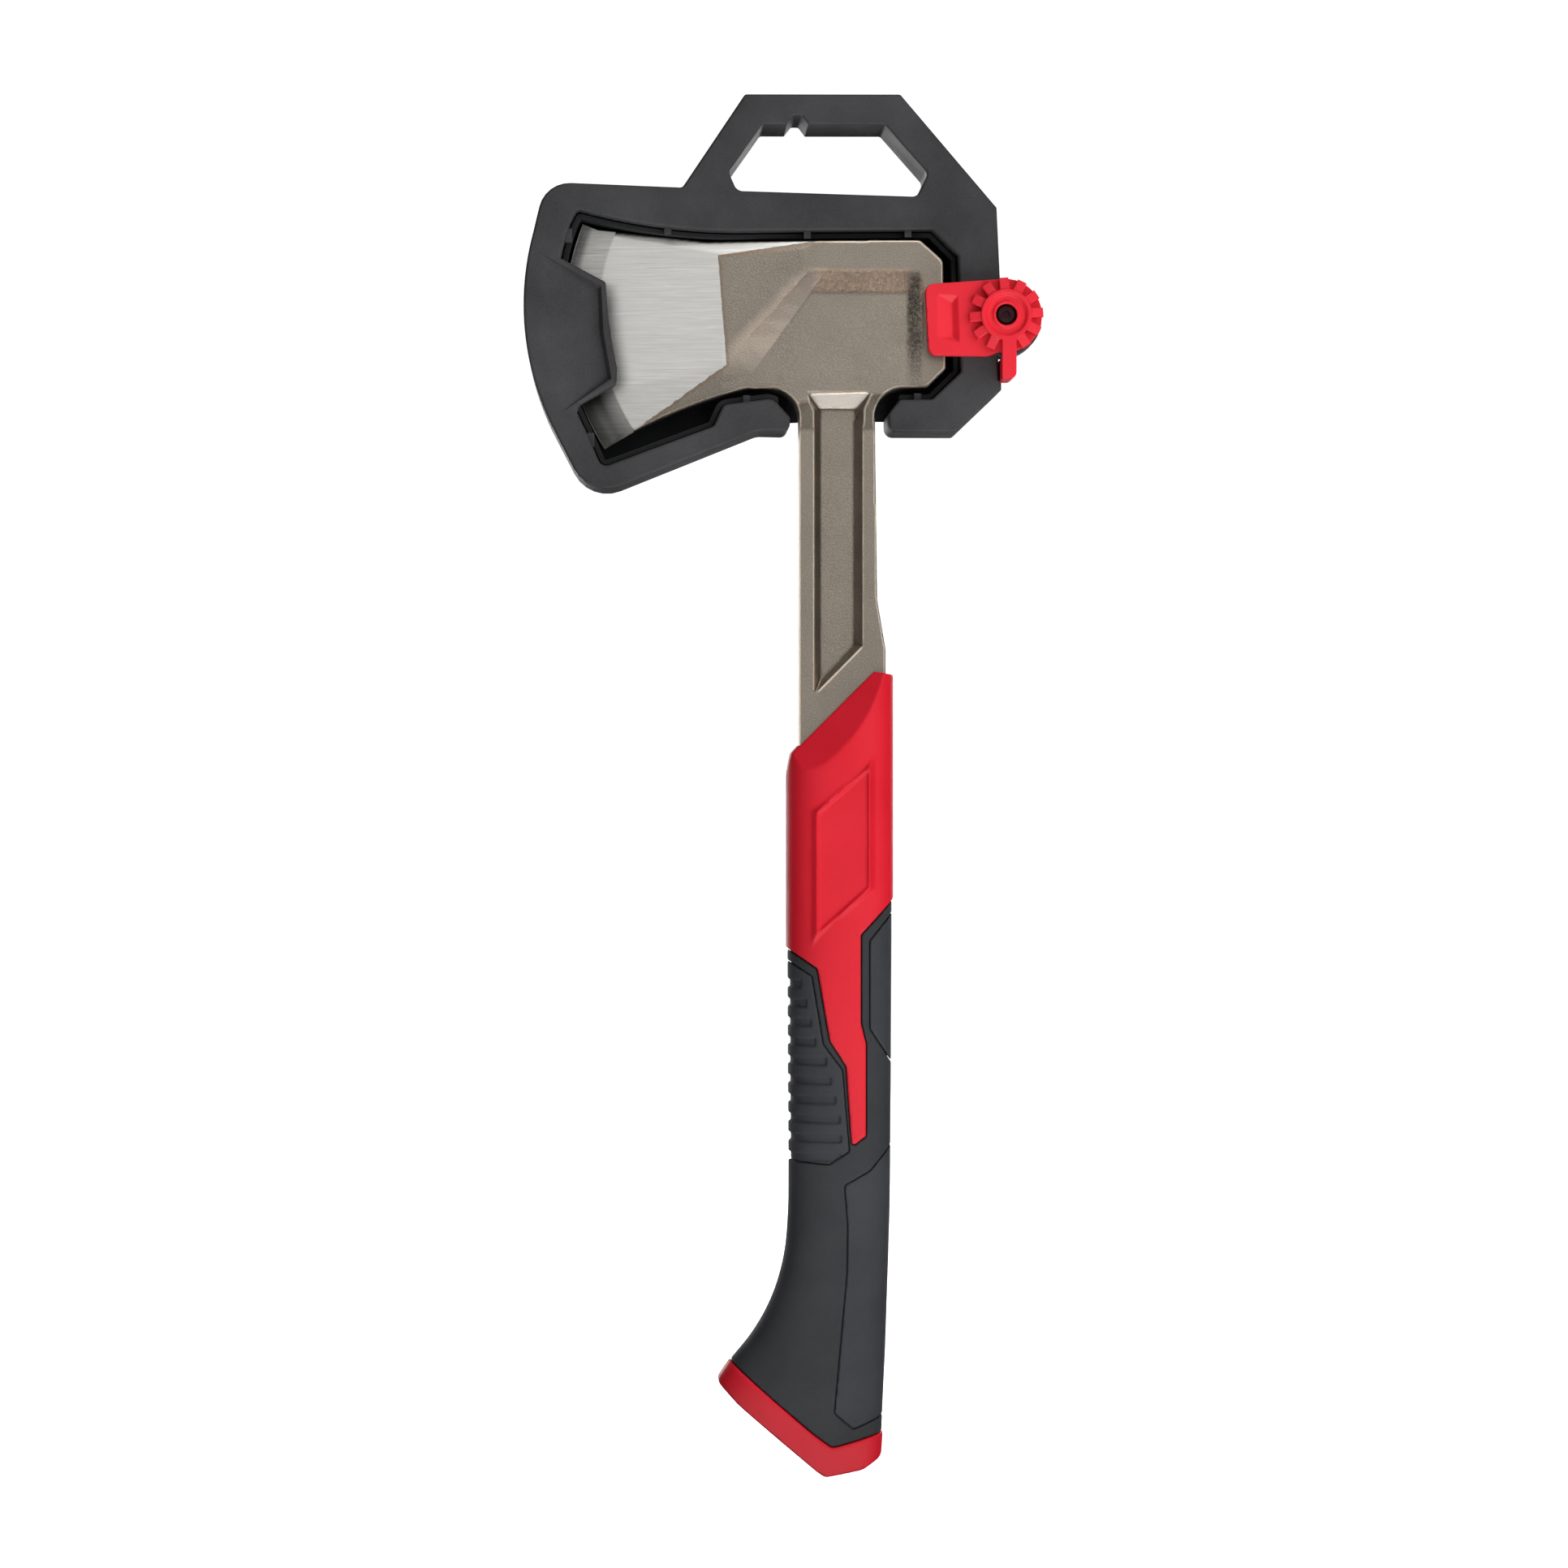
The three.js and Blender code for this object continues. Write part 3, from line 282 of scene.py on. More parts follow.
def solid(verts, faces):
    """A closed mesh as an object that can be cut and joined."""
    mesh = bpy.data.meshes.new("work")
    mesh.from_pydata([tuple(v) for v in verts], [], faces)
    bm = bmesh.new()
    bm.from_mesh(mesh)
    bmesh.ops.remove_doubles(bm, verts=bm.verts, dist=1e-4)
    bmesh.ops.recalc_face_normals(bm, faces=bm.faces)
    if bm.calc_volume(signed=True) < 0:
        bmesh.ops.reverse_faces(bm, faces=bm.faces)
    bm.to_mesh(mesh)
    bm.free()
    obj = bpy.data.objects.new("work", mesh)
    bpy.context.scene.collection.objects.link(obj)
    return obj


def loft(rings):
    count = len(rings[0])
    verts = [v for ring in rings for v in ring]
    faces = []
    for r in range(len(rings) - 1):
        for i in range(count):
            a, b = r * count + i, r * count + (i + 1) % count
            faces.append((a, b, b + count, a + count))
    last = (len(rings) - 1) * count
    faces.append(tuple(reversed(range(count))))
    faces.append(tuple(range(last, last + count)))
    return solid(verts, faces)


def slab(entries, profile):
    """One outline skinned through a profile of (y, how far the outline is grown there)."""
    return loft([[(x, y, z) for x, z in outline(grown(entries, grow))] for y, grow in profile])


def plate(entries, front, back):
    return slab(entries, [(front, 0), (back, 0)])


def soft(front, back, front_round=0.0, back_round=0.0, steps=4):
    """The profile of a plate whose edges are rounded over, or flared if the radius is negative."""
    profile = []
    for i in range(steps + 1 if front_round else 1):
        a = math.pi / 2 * i / steps if front_round else math.pi / 2
        r = front_round
        profile.append((front + abs(r) * (1 - math.cos(a)) if r else front,
                        -r * (1 - math.sin(a)) if r else 0))
    for i in range(steps + 1 if back_round else 1):
        a = math.pi / 2 * (1 - i / steps) if back_round else math.pi / 2
        r = back_round
        profile.append((back - abs(r) * (1 - math.cos(a)) if r else back,
                        -r * (1 - math.sin(a)) if r else 0))
    return profile


def block(x0, x1, y0, y1, z0, z1):
    return loft([[(x, y, z0) for x, y in ((x0, y0), (x1, y0), (x1, y1), (x0, y1))],
                 [(x, y, z1) for x, y in ((x0, y0), (x1, y0), (x1, y1), (x0, y1))]])


def turned(centre, profile, segments=64):
    """A turned solid about an axis parallel to Y; profile is a closed loop of (radius, y)."""
    rings = []
    for s in range(segments):
        a = math.tau * s / segments
        rings.append([(centre[0] + r * math.cos(a), y, centre[1] + r * math.sin(a))
                      for r, y in profile])
    count = len(profile)
    verts = [v for ring in rings for v in ring]
    faces = []
    for s in range(segments):
        t = (s + 1) % segments
        for i in range(count):
            j = (i + 1) % count
            if profile[i][0] == 0 and profile[j][0] == 0:
                continue
            faces.append((s * count + i, s * count + j, t * count + j, t * count + i))
    faces = [tuple(dict.fromkeys(f)) for f in faces]
    return solid_merged(verts, faces)


def solid_merged(verts, faces):
    """As solid(), for faces that share points by place and not by index."""
    bm = bmesh.new()
    made = {}
    for face in faces:
        ring = []
        for index in face:
            key = tuple(round(c, 5) for c in verts[index])
            if key not in made:
                made[key] = bm.verts.new(key)
            if made[key] not in ring:
                ring.append(made[key])
        if len(ring) > 2:
            bm.faces.new(ring)
    bmesh.ops.recalc_face_normals(bm, faces=bm.faces)
    if bm.calc_volume(signed=True) < 0:
        bmesh.ops.reverse_faces(bm, faces=bm.faces)
    mesh = bpy.data.meshes.new("work")
    bm.to_mesh(mesh)
    bm.free()
    obj = bpy.data.objects.new("work", mesh)
    bpy.context.scene.collection.objects.link(obj)
    return obj


def disc(centre, radius, front, back, segments=64):
    return turned(centre, [(0, front), (radius, front), (radius, back), (0, back)], segments)


def recess(shape, sign, top=14.0):
    rim, floor = shape["rim"], shape["floor"]
    mouth = [(x, z, top) for x, z, _ in rim]
    return loft([[(x, sign * half, z) for x, z, half in ring] for ring in (mouth, rim, floor)])


def quad_ring(corners, inset, per_side=8):
    """Points round a four-cornered patch, moved in from its border by a share of its size."""
    a, b, c, d = (Vector(p) for p in corners)
    turns = [(inset, inset), (1 - inset, inset), (1 - inset, 1 - inset), (inset, 1 - inset)]
    ring = []
    for (u0, v0), (u1, v1) in zip(turns, turns[1:] + turns[:1]):
        for i in range(per_side):
            u, v = u0 + (u1 - u0) * i / per_side, v0 + (v1 - v0) * i / per_side
            ring.append((a * (1 - u) + b * u) * (1 - v) + (d * (1 - u) + c * u) * v)
    return ring


def dished(shape, sign, top=14.0):
    """Like recess, with four corners and a floor that twists smoothly between them."""
    rim, floor, mouth = ([(x, sign * half, z) for x, z, half in ring] for ring in
                         (shape["rim"], shape["floor"], [(x, z, top) for x, z, _ in shape["rim"]]))
    return loft([quad_ring(mouth, 0), quad_ring(rim, 0),
                 *(quad_ring(floor, step / 16) for step in range(8))])


def half_space(a, b, c, outside):
    pa, pb, pc, po = (Vector(p) for p in (a, b, c, outside))
    normal = (pb - pa).cross(pc - pa).normalized()
    if normal.dot(po - pa) < 0:
        normal.negate()
    turn = Vector((0, 0, 1)).rotation_difference(normal).to_matrix()
    obj = block(-150, 150, -150, 150, 0, 300)
    obj.data.transform(Matrix.Translation(pa) @ turn.to_4x4())
    return obj


def mirror_y(points):
    return [(x, -y, z) for x, y, z in points]


def bake(obj):
    """The modifiers of a work object applied."""
    graph = bpy.context.evaluated_depsgraph_get()
    mesh = bpy.data.meshes.new_from_object(obj.evaluated_get(graph))
    obj.modifiers.clear()
    old, obj.data = obj.data, mesh
    bpy.data.meshes.remove(old)
    return obj


def combine(base, operation, tools):
    for tool in tools:
        m = base.modifiers.new("combine", "BOOLEAN")
        m.operation, m.solver, m.object = operation, "MANIFOLD", tool
    bake(base)
    for tool in tools:
        mesh = tool.data
        bpy.data.objects.remove(tool)
        bpy.data.meshes.remove(mesh)
    return base


def cut(base, *tools):
    return combine(base, "DIFFERENCE", tools)


def join(base, *tools):
    return combine(base, "UNION", tools)


def overlap(base, *tools):
    return combine(base, "INTERSECT", tools)


def tidy(obj, flat=0.4):
    """Merges the doubles and the flat seams that cutting leaves."""
    bm = bmesh.new()
    bm.from_mesh(obj.data)
    bmesh.ops.remove_doubles(bm, verts=bm.verts, dist=0.004)
    bmesh.ops.dissolve_degenerate(bm, edges=bm.edges, dist=0.002)
    bmesh.ops.dissolve_limit(bm, angle_limit=math.radians(flat), verts=bm.verts, edges=bm.edges)
    bm.to_mesh(obj.data)
    bm.free()
    return obj


def skinned(obj, voxel, smoothing, share=1.0, mark=0):
    """A moulded or forged skin: the solid is resurfaced and relaxed, which rounds every edge."""
    m = obj.modifiers.new("skin", "REMESH")
    m.mode, m.voxel_size, m.adaptivity = "VOXEL", voxel, 0.0
    s = obj.modifiers.new("relax", "SMOOTH")
    s.factor, s.iterations = 0.5, smoothing
    bake(obj)
    if mark:
        mark_edges(obj, mark)
    d = obj.modifiers.new("thin", "DECIMATE")
    d.ratio = share
    return bake(obj)


def mark_edges(obj, rounds):
    """Stores how far each point stands out of its surroundings, in mm, as the attribute edge."""
    mesh = obj.data
    count = len(mesh.vertices)
    place = np.empty(count * 3)
    mesh.vertices.foreach_get("co", place)
    place = place.reshape(-1, 3)
    normal = np.empty(count * 3)
    mesh.vertices.foreach_get("normal", normal)
    pairs = np.empty(len(mesh.edges) * 2, int)
    mesh.edges.foreach_get("vertices", pairs)
    pairs = pairs.reshape(-1, 2)
    ends = np.concatenate([pairs, pairs[:, ::-1]])
    degree = np.maximum(np.bincount(ends[:, 0], minlength=count), 1)[:, None]
    eased_place = place
    for _ in range(rounds):
        total = np.stack([np.bincount(ends[:, 0], weights=eased_place[ends[:, 1], k],
                                      minlength=count) for k in range(3)], axis=1)
        eased_place = 0.5 * eased_place + 0.5 * total / degree
    out = ((place - eased_place) * normal.reshape(-1, 3)).sum(axis=1)
    attribute = mesh.attributes.new("edge", "FLOAT", "POINT")
    attribute.data.foreach_set("value", out.astype(np.float32))


def piece(obj, name, body, slot, materials, *nodes, angle=40):
    """A finished work solid becomes a named piece that stands for its CAD nodes."""
    obj.name = obj.data.name = name
    obj.data.transform(Matrix.Scale(MM, 4))
    obj.data.materials.clear()
    for material in materials:
        obj.data.materials.append(material)
    for polygon in obj.data.polygons:
        polygon.use_smooth = True
        polygon.material_index = 0
    obj.data.set_sharp_from_angle(angle=math.radians(angle))
    m = obj.modifiers.new("normals", "WEIGHTED_NORMAL")
    m.keep_sharp, m.weight = True, 80
    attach(obj, body)
    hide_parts(*nodes)
    return obj


# ------------------------------------------------------------------ materials

class Paint:
    """A node material: a Principled surface and short ways to make what feeds it."""

    def __init__(self, name, **surface):
        self.material = bpy.data.materials.new(name)
        self.material.use_nodes = True
        self.tree = self.material.node_tree
        self.surface = self.tree.nodes["Principled BSDF"]
        self.place = self.node("ShaderNodeTexCoord").outputs["Object"]
        for key, value in surface.items():
            self.surface.inputs[key.replace("_", " ")].default_value = value

    def node(self, kind, **settings):
        made = self.tree.nodes.new(kind)
        for key, value in settings.items():
            setattr(made, key, value)
        return made

    def link(self, source, target):
        self.tree.links.new(source, target)

    def feed(self, target, value):
        if isinstance(value, bpy.types.NodeSocket):
            self.link(value, target)
        else:
            target.default_value = value

    def noise(self, scale, detail=3.0, rough=0.55, stretch=None, tilt=0.0):
        made = self.node("ShaderNodeTexNoise")
        made.inputs["Scale"].default_value = scale
        made.inputs["Detail"].default_value = detail
        made.inputs["Roughness"].default_value = rough
        source = self.place
        if stretch:
            mapping = self.node("ShaderNodeMapping")
            mapping.inputs["Scale"].default_value = stretch
            mapping.inputs["Rotation"].default_value = (0, tilt, 0)
            self.link(self.place, mapping.inputs["Vector"])
            source = mapping.outputs["Vector"]
        self.link(source, made.inputs["Vector"])
        return made.outputs["Fac"]

    def math(self, operation, a, b=0.0):
        made = self.node("ShaderNodeMath", operation=operation)
        self.feed(made.inputs[0], a)
        self.feed(made.inputs[1], b)
        return made.outputs[0]

    def product(self, first, *others):
        for other in others:
            first = self.math("MULTIPLY", first, other)
        return first

    def spread(self, value, low, high, out_low=0.0, out_high=1.0, smooth=False):
        made = self.node("ShaderNodeMapRange", clamp=True)
        if smooth:
            made.interpolation_type = "SMOOTHSTEP"
        self.feed(made.inputs["Value"], value)
        for key, number in (("From Min", low), ("From Max", high),
                            ("To Min", out_low), ("To Max", out_high)):
            made.inputs[key].default_value = number
        return made.outputs["Result"]

    def fade(self, value, low, high, out_low=0.0, out_high=1.0, smooth=False):
        """As spread, for a length, with its two ends in millimetres."""
        return self.spread(value, low * MM, high * MM, out_low, out_high, smooth)

    def blend(self, share, a, b):
        made = self.node("ShaderNodeMix", data_type="RGBA")
        self.feed(made.inputs["Factor"], share)
        self.feed(made.inputs["A"], a)
        self.feed(made.inputs["B"], b)
        return made.outputs["Result"]

    def color(self, value):
        self.feed(self.surface.inputs["Base Color"], value)

    def rough(self, value):
        self.feed(self.surface.inputs["Roughness"], value)

    def bump(self, height, strength, distance):
        made = self.node("ShaderNodeBump")
        made.inputs["Strength"].default_value = strength
        made.inputs["Distance"].default_value = distance
        self.link(height, made.inputs["Height"])
        self.link(made.outputs["Normal"], self.surface.inputs["Normal"])

    def axes(self):
        made = self.node("ShaderNodeSeparateXYZ")
        self.link(self.place, made.inputs[0])
        return made.outputs[0], made.outputs[1], made.outputs[2]

    def beyond(self, line, wobble=None, amount=0.0):
        """Signed distance in metres from a line in the XZ plane, positive on its left."""
        x, _, z = self.axes()
        (ax, az), (bx, bz) = [(p[0] * MM, p[1] * MM) for p in line]
        length = math.hypot(bx - ax, bz - az)
        nx, nz = -(bz - az) / length, (bx - ax) / length
        d = self.math("ADD", self.math("MULTIPLY", x, nx), self.math("MULTIPLY", z, nz))
        d = self.math("SUBTRACT", d, ax * nx + az * nz)
        return d if wobble is None else self.wavered(d, wobble, amount)

    def wavered(self, value, wobble, amount):
        """A value moved up and down by a noise, amount from one end to the other."""
        swing = self.product(self.math("SUBTRACT", wobble, 0.5), amount)
        return self.math("ADD", value, swing)


def srgb(r, g, b):
    """A colour given as 0 to 255 on a screen, as linear light."""
    def lin(c):
        c /= 255
        return c / 12.92 if c <= 0.04045 else ((c + 0.055) / 1.055) ** 2.4
    return (lin(r), lin(g), lin(b), 1.0)


def moulded(name, dark, light, roughness, grain, grain_strength, **surface):
    """Moulded plastic or rubber: fine grain, a faint cloudiness and slightly uneven gloss."""
    p = Paint(name, **surface)
    cloud = p.noise(38, 4)
    fine = p.noise(grain, 2, 0.7)
    tone = p.math("ADD", p.math("MULTIPLY", cloud, 0.7), p.math("MULTIPLY", fine, 0.3))
    p.color(p.blend(p.spread(tone, 0.32, 0.68), srgb(*dark), srgb(*light)))
    p.rough(p.spread(p.noise(90, 3), 0.3, 0.7, roughness - 0.05, roughness + 0.06))
    p.bump(fine, grain_strength, 0.00012)
    return p.material


def recess_walls(p, coat, coarse):
    """The recess walls keep a coarser forged skin, with painted shade on the left-facing wall at
    the poll end and a painted pale tan highlight along the down-facing top wall.
    """
    x, _, z = p.axes()
    rim_right, rim_top = CHEEK_RECESS["rim"][1][:2]
    floor_right, floor_top = CHEEK_RECESS["floor"][1][:2]
    poll = p.product(p.fade(x, floor_right - 1.2, floor_right + 0.4, 0.0, 1.0, True),
                     p.fade(x, rim_right - 0.1, rim_right + 1.3, 1.0, 0.0, True),
                     p.fade(z, -86, -72), p.fade(z, rim_top + 0.1, rim_top - 2.4))
    # Painted shade: the left-facing wall at the poll end is darkened, mottled by the coarse skin.
    dark = p.product(poll, p.spread(coarse, 0.36, 0.62, 0.1, 0.75))
    coat = p.blend(dark, coat, srgb(58, 54, 50))
    # Painted highlight: the down-facing top wall is made pale tan, mottled by the coarse skin.
    top = p.product(p.fade(z, floor_top - 0.8, floor_top + 0.6),
                    p.fade(z, rim_top + 1.0, rim_top - 0.4), p.fade(x, 3, 6), p.fade(x, 37, 35))
    brown = p.product(top, p.spread(coarse, 0.42, 0.62, 0.2, 0.75))
    coat = p.blend(brown, coat, srgb(196, 166, 142))
    return coat, p.product(coarse, p.math("MAXIMUM", poll, top))


def painted_highlight_patches(p, coat, blotch):
    """Painted highlights: the long slope into the recess, which faces right, and the step down to
    the haft, which faces down, are painted pale.
    """
    _, _, z = p.axes()
    foot, brow = SLOPE_SIDES
    slope = p.product(p.fade(p.beyond(foot), 0.0, 0.6),
                      p.fade(p.beyond(brow, blotch, 0.002), -3.0, 1.0),
                      p.fade(z, -84, -74), p.fade(z, -48, -52))
    # Painted highlight on the right-facing slope into the recess.
    coat = p.blend(p.product(slope, 0.7), coat, srgb(192, 178, 163))
    left, right = STEP_SIDES
    step = p.product(p.fade(p.beyond(left), 0.0, 0.4), p.fade(p.beyond(right), 0.0, 0.4),
                     p.fade(p.wavered(z, blotch, 0.003), -93.4, -92.8), p.fade(z, -87.7, -88.1))
    # Painted highlight on the down-facing step down to the haft.
    return p.blend(p.product(step, 0.9), coat, srgb(176, 172, 167))


def edge_wear_and_painted_light(p, coat, ragged, blotch):
    """Edges that stand out go brown with wear and carry a painted cream highlight along their
    crests, and inner corners get painted shade.
    """
    edge = p.node("ShaderNodeAttribute", attribute_name="edge").outputs["Fac"]
    edge = p.wavered(edge, ragged, 0.03)
    brown = p.product(p.spread(edge, 0.010, 0.035), p.spread(blotch, 0.4, 0.62, 0.15, 1.0))
    coat = p.blend(p.product(brown, 0.45), coat, srgb(158, 122, 90))
    # Painted highlight: a cream line along the crests of edges that stand out.
    coat = p.blend(p.spread(edge, 0.04, 0.075, 0.0, 0.7), coat, srgb(232, 222, 206))
    # Painted shade: inner corners are darkened.
    return p.blend(p.spread(edge, -0.08, -0.02, 0.5, 0.0), coat, srgb(96, 82, 66))


def brushed_bit(p, streak):
    """Brushed steel, with a finer ground band along the edge that darkens towards the heel, and
    painted shade on a strip along the very edge.
    """
    x, _, z = p.axes()
    wide = p.noise(1, 3, 0.6, (25, 25, 420), 0.09)
    bit = p.blend(p.spread(streak, 0.3, 0.7), srgb(186, 185, 181), srgb(222, 221, 216))
    bit = p.blend(p.spread(wide, 0.35, 0.7, 0.0, 0.5), bit, srgb(200, 199, 195))
    dx = p.math("SUBTRACT", x, EDGE_CENTRE[0] * MM)
    dz = p.math("SUBTRACT", z, EDGE_CENTRE[1] * MM)
    radius = p.math("SQRT", p.math("ADD", p.product(dx, dx), p.product(dz, dz)))
    honed = p.fade(radius, BEVEL_RADIUS - 0.7, BEVEL_RADIUS + 0.6, 0.0, 0.85, True)
    ground = p.blend(p.spread(streak, 0.25, 0.75), srgb(140, 139, 136), srgb(206, 205, 201))
    bit = p.blend(honed, bit, ground)
    # The ground band darkens nearly to black towards the heel.
    dark_towards_heel = p.product(p.fade(radius, BEVEL_RADIUS - 0.7, BEVEL_RADIUS + 4.9),
                      p.fade(z, -89, -72, 1.0, 0.12, True), p.fade(z, -98.5, -90, 0.78, 1.0, True))
    bit = p.blend(p.product(dark_towards_heel, 0.9), bit, srgb(22, 22, 22))
    # Painted shade: a darker strip along the very edge.
    rim = p.fade(radius, EDGE_RADIUS - 3.6, EDGE_RADIUS - 2.0, 0.0, 0.55)
    return p.blend(rim, bit, srgb(60, 60, 58))


def steel_paint():
    """The forging: coated all over, but for the brushed bit and the facet above it."""
    p = Paint("forged_steel", Metallic=1.0)
    ragged = p.noise(420, 4, 0.65)
    peel = p.noise(2000, 2, 0.5)
    blotch = p.noise(75, 5, 0.6)
    coarse = p.noise(900, 3, 0.75)
    streak = p.noise(1, 5, 0.7, (70, 70, 3000), 0.09)
    before_coat = p.product(p.beyond(COAT_EDGE, ragged, 0.0006), -1.0)
    bare = p.math("MINIMUM", before_coat, p.beyond(BEARD_EDGE, ragged, 0.0016))
    bare = p.math("MAXIMUM", bare, p.beyond(TOP_FACET_EDGE, ragged, 0.0004))
    mask = p.fade(bare, -0.12, 0.12)
    coat = p.blend(p.spread(blotch, 0.3, 0.7), srgb(132, 124, 113), srgb(144, 136, 125))
    coat = p.blend(p.spread(peel, 0.52, 0.78, 0.0, 0.35), coat, srgb(184, 175, 161))
    coat = p.blend(p.spread(peel, 0.48, 0.28, 0.0, 0.25), coat, srgb(104, 96, 86))
    coat, wall_skin = recess_walls(p, coat, coarse)
    coat = painted_highlight_patches(p, coat, blotch)
    coat = edge_wear_and_painted_light(p, coat, ragged, blotch)
    to_fringe = p.math("ABSOLUTE", p.math("ADD", bare, 0.0004))
    coat = p.blend(p.fade(to_fringe, 0.1, 0.9, 0.3, 0.0, True), coat, srgb(128, 92, 62))
    p.color(p.blend(mask, coat, brushed_bit(p, streak)))
    p.rough(p.math("ADD", p.product(mask, -0.08), p.spread(blotch, 0.3, 0.7, 0.40, 0.48)))
    skin = p.math("ADD", peel, p.product(wall_skin, 2.5))
    p.bump(p.math("ADD", p.product(skin, p.math("SUBTRACT", 1.0, mask)),
                  p.product(streak, 0.25, mask)), 0.7, 0.00016)
    return p.material


SHEATH = moulded("sheath_plastic", (42, 42, 44), (66, 66, 68), 0.58, 1700, 0.6,
                 Specular_IOR_Level=0.2)
LINER = moulded("liner_plastic", (26, 27, 29), (34, 35, 37), 0.62, 1700, 0.3,
                Specular_IOR_Level=0.2)
GRIP_RED = moulded("grip_red", (210, 22, 40), (220, 29, 48), 0.5, 1900, 0.22,
                   Specular_IOR_Level=0.1)
LATCH_RED = moulded("latch_red", (226, 30, 48), (238, 38, 56), 0.5, 1900, 0.22,
                    Specular_IOR_Level=0.15)
RUBBER = moulded("soft_rubber", (46, 47, 50), (56, 57, 60), 0.7, 2300, 0.5,
                 Specular_IOR_Level=0.08)
PAD_RUBBER = moulded("pad_rubber", (52, 53, 57), (62, 63, 67), 0.7, 2300, 0.5,
                     Specular_IOR_Level=0.08)
STEEL = steel_paint()


def plated(name, dark, light, roughness):
    p = Paint(name, Metallic=1.0)
    p.color(p.blend(p.noise(300, 4), srgb(*dark), srgb(*light)))
    p.rough(p.spread(p.noise(700, 3), 0.3, 0.7, roughness - 0.06, roughness + 0.08))
    p.bump(p.noise(2400, 2), 0.15, 0.00005)
    return p.material


ZINC = plated("zinc_steel", (150, 152, 155), (186, 188, 190), 0.34)
BLACK_STEEL = plated("black_steel", (40, 24, 26), (58, 36, 38), 0.42)
BRASS = plated("brass", (176, 138, 70), (204, 168, 96), 0.3)


# ------------------------------------------------------------------ sheath

def flange_blank(extra, front, back):
    rim = plate(grown(POCKET, FLANGE_WIDTH + extra), front, back)
    rim = join(rim, *(disc(at, SCREW_BOSS + extra, front, back, 32) for at in SCREWS))
    below = block(-9, 36, front - 1, back + 1, -130, MOUTH_FLOOR_Z - extra)
    below = cut(below, disc(SCREWS[5], SCREW_BOSS + extra, front - 2, back + 2, 32))
    return cut(rim, below)


def sheath_frame():
    frame_body = slab(SHEATH_OUTER + POCKET, soft(SHEATH_FRONT, SHEATH_BACK, 1.0, 1.2))
    ear = slab([(PIVOT[0] - 12.4, PIVOT[1] - 0.6), ("via", PIVOT[0] - 0.2, PIVOT[1] - 12.8),
                (PIVOT[0] + 12.0, PIVOT[1] - 0.6), ("via", PIVOT[0] - 0.2, PIVOT[1] + 11.6)],
               soft(SHEATH_FRONT, -2.5, 0.5, 0.5))
    lip = slab(LIP, soft(SHEATH_FRONT, SHEATH_FRONT + LIP_THICKNESS, 1.3, 0.4))
    behind_tab = block(TAB_LEFT - 3.1, TAB_LEFT + 0.2, -3.4, 13.0, TAB_END - 0.8, -71.2)
    frame_body = join(frame_body, ear, lip, behind_tab)
    window = slab(WINDOW, [(SHEATH_FRONT - 1, 1.6), *soft(SHEATH_FRONT, SHEATH_BACK, -0.9, -0.9),
                           (SHEATH_BACK + 1, 1.6)])
    frame_body = cut(frame_body, window, recess(LIP_PANEL, -1, 16),
                     flange_blank(FIT, FLANGE_FRONT - FIT, SHEATH_BACK + 1))
    frame_body = join(frame_body, *(
        block(x - 1.1, x + 1.1, -11, TRAY_RIM_FRONT - FIT, z - 2.2, z + 2.2) for x, z in CATCHES))
    frame_body = cut(frame_body, *(disc(at, SCREW_HOLE, 4, 14, 24) for at in SCREWS))
    return tidy(cut(frame_body, disc(PIVOT, 5.4, SHEATH_FRONT - 1, SHEATH_FRONT + 1.6),
                    disc(PIVOT, 3.5, SHEATH_FRONT - 1, -3.7)))


def pocket_tray():
    tray = slab(grown(POCKET, -FIT), soft(TRAY_RIM_FRONT, FLANGE_BACK, 0.4, 0))
    inner = slab(grown(POCKET, -FIT - TRAY_WALL),
                 [(TRAY_RIM_FRONT - 1, 0.6), *soft(TRAY_RIM_FRONT, TRAY_FLOOR_FRONT, -0.4, 0)])
    mouth = block(-6, 33, TRAY_RIM_FRONT - 1, TRAY_FLOOR_FRONT, -110, -88.5)
    tray = join(cut(tray, inner, mouth), flange_blank(0, FLANGE_FRONT, FLANGE_BACK))
    return tidy(cut(tray, *(disc(at, SCREW_HOLE, 10, 16, 24) for at in SCREWS),
                    *(disc(at, SCREW_HEAD, FLANGE_BACK - 1.5, 16, 24) for at in SCREWS)))


piece(sheath_frame(), "sheath_shell", "sheathed_hatchet", "sheath_plastic", [SHEATH],
      "sheath_frame")
piece(pocket_tray(), "sheath_liner", "sheathed_hatchet", "liner_plastic", [LINER], "pocket_tray")


# ------------------------------------------------------------------ forging

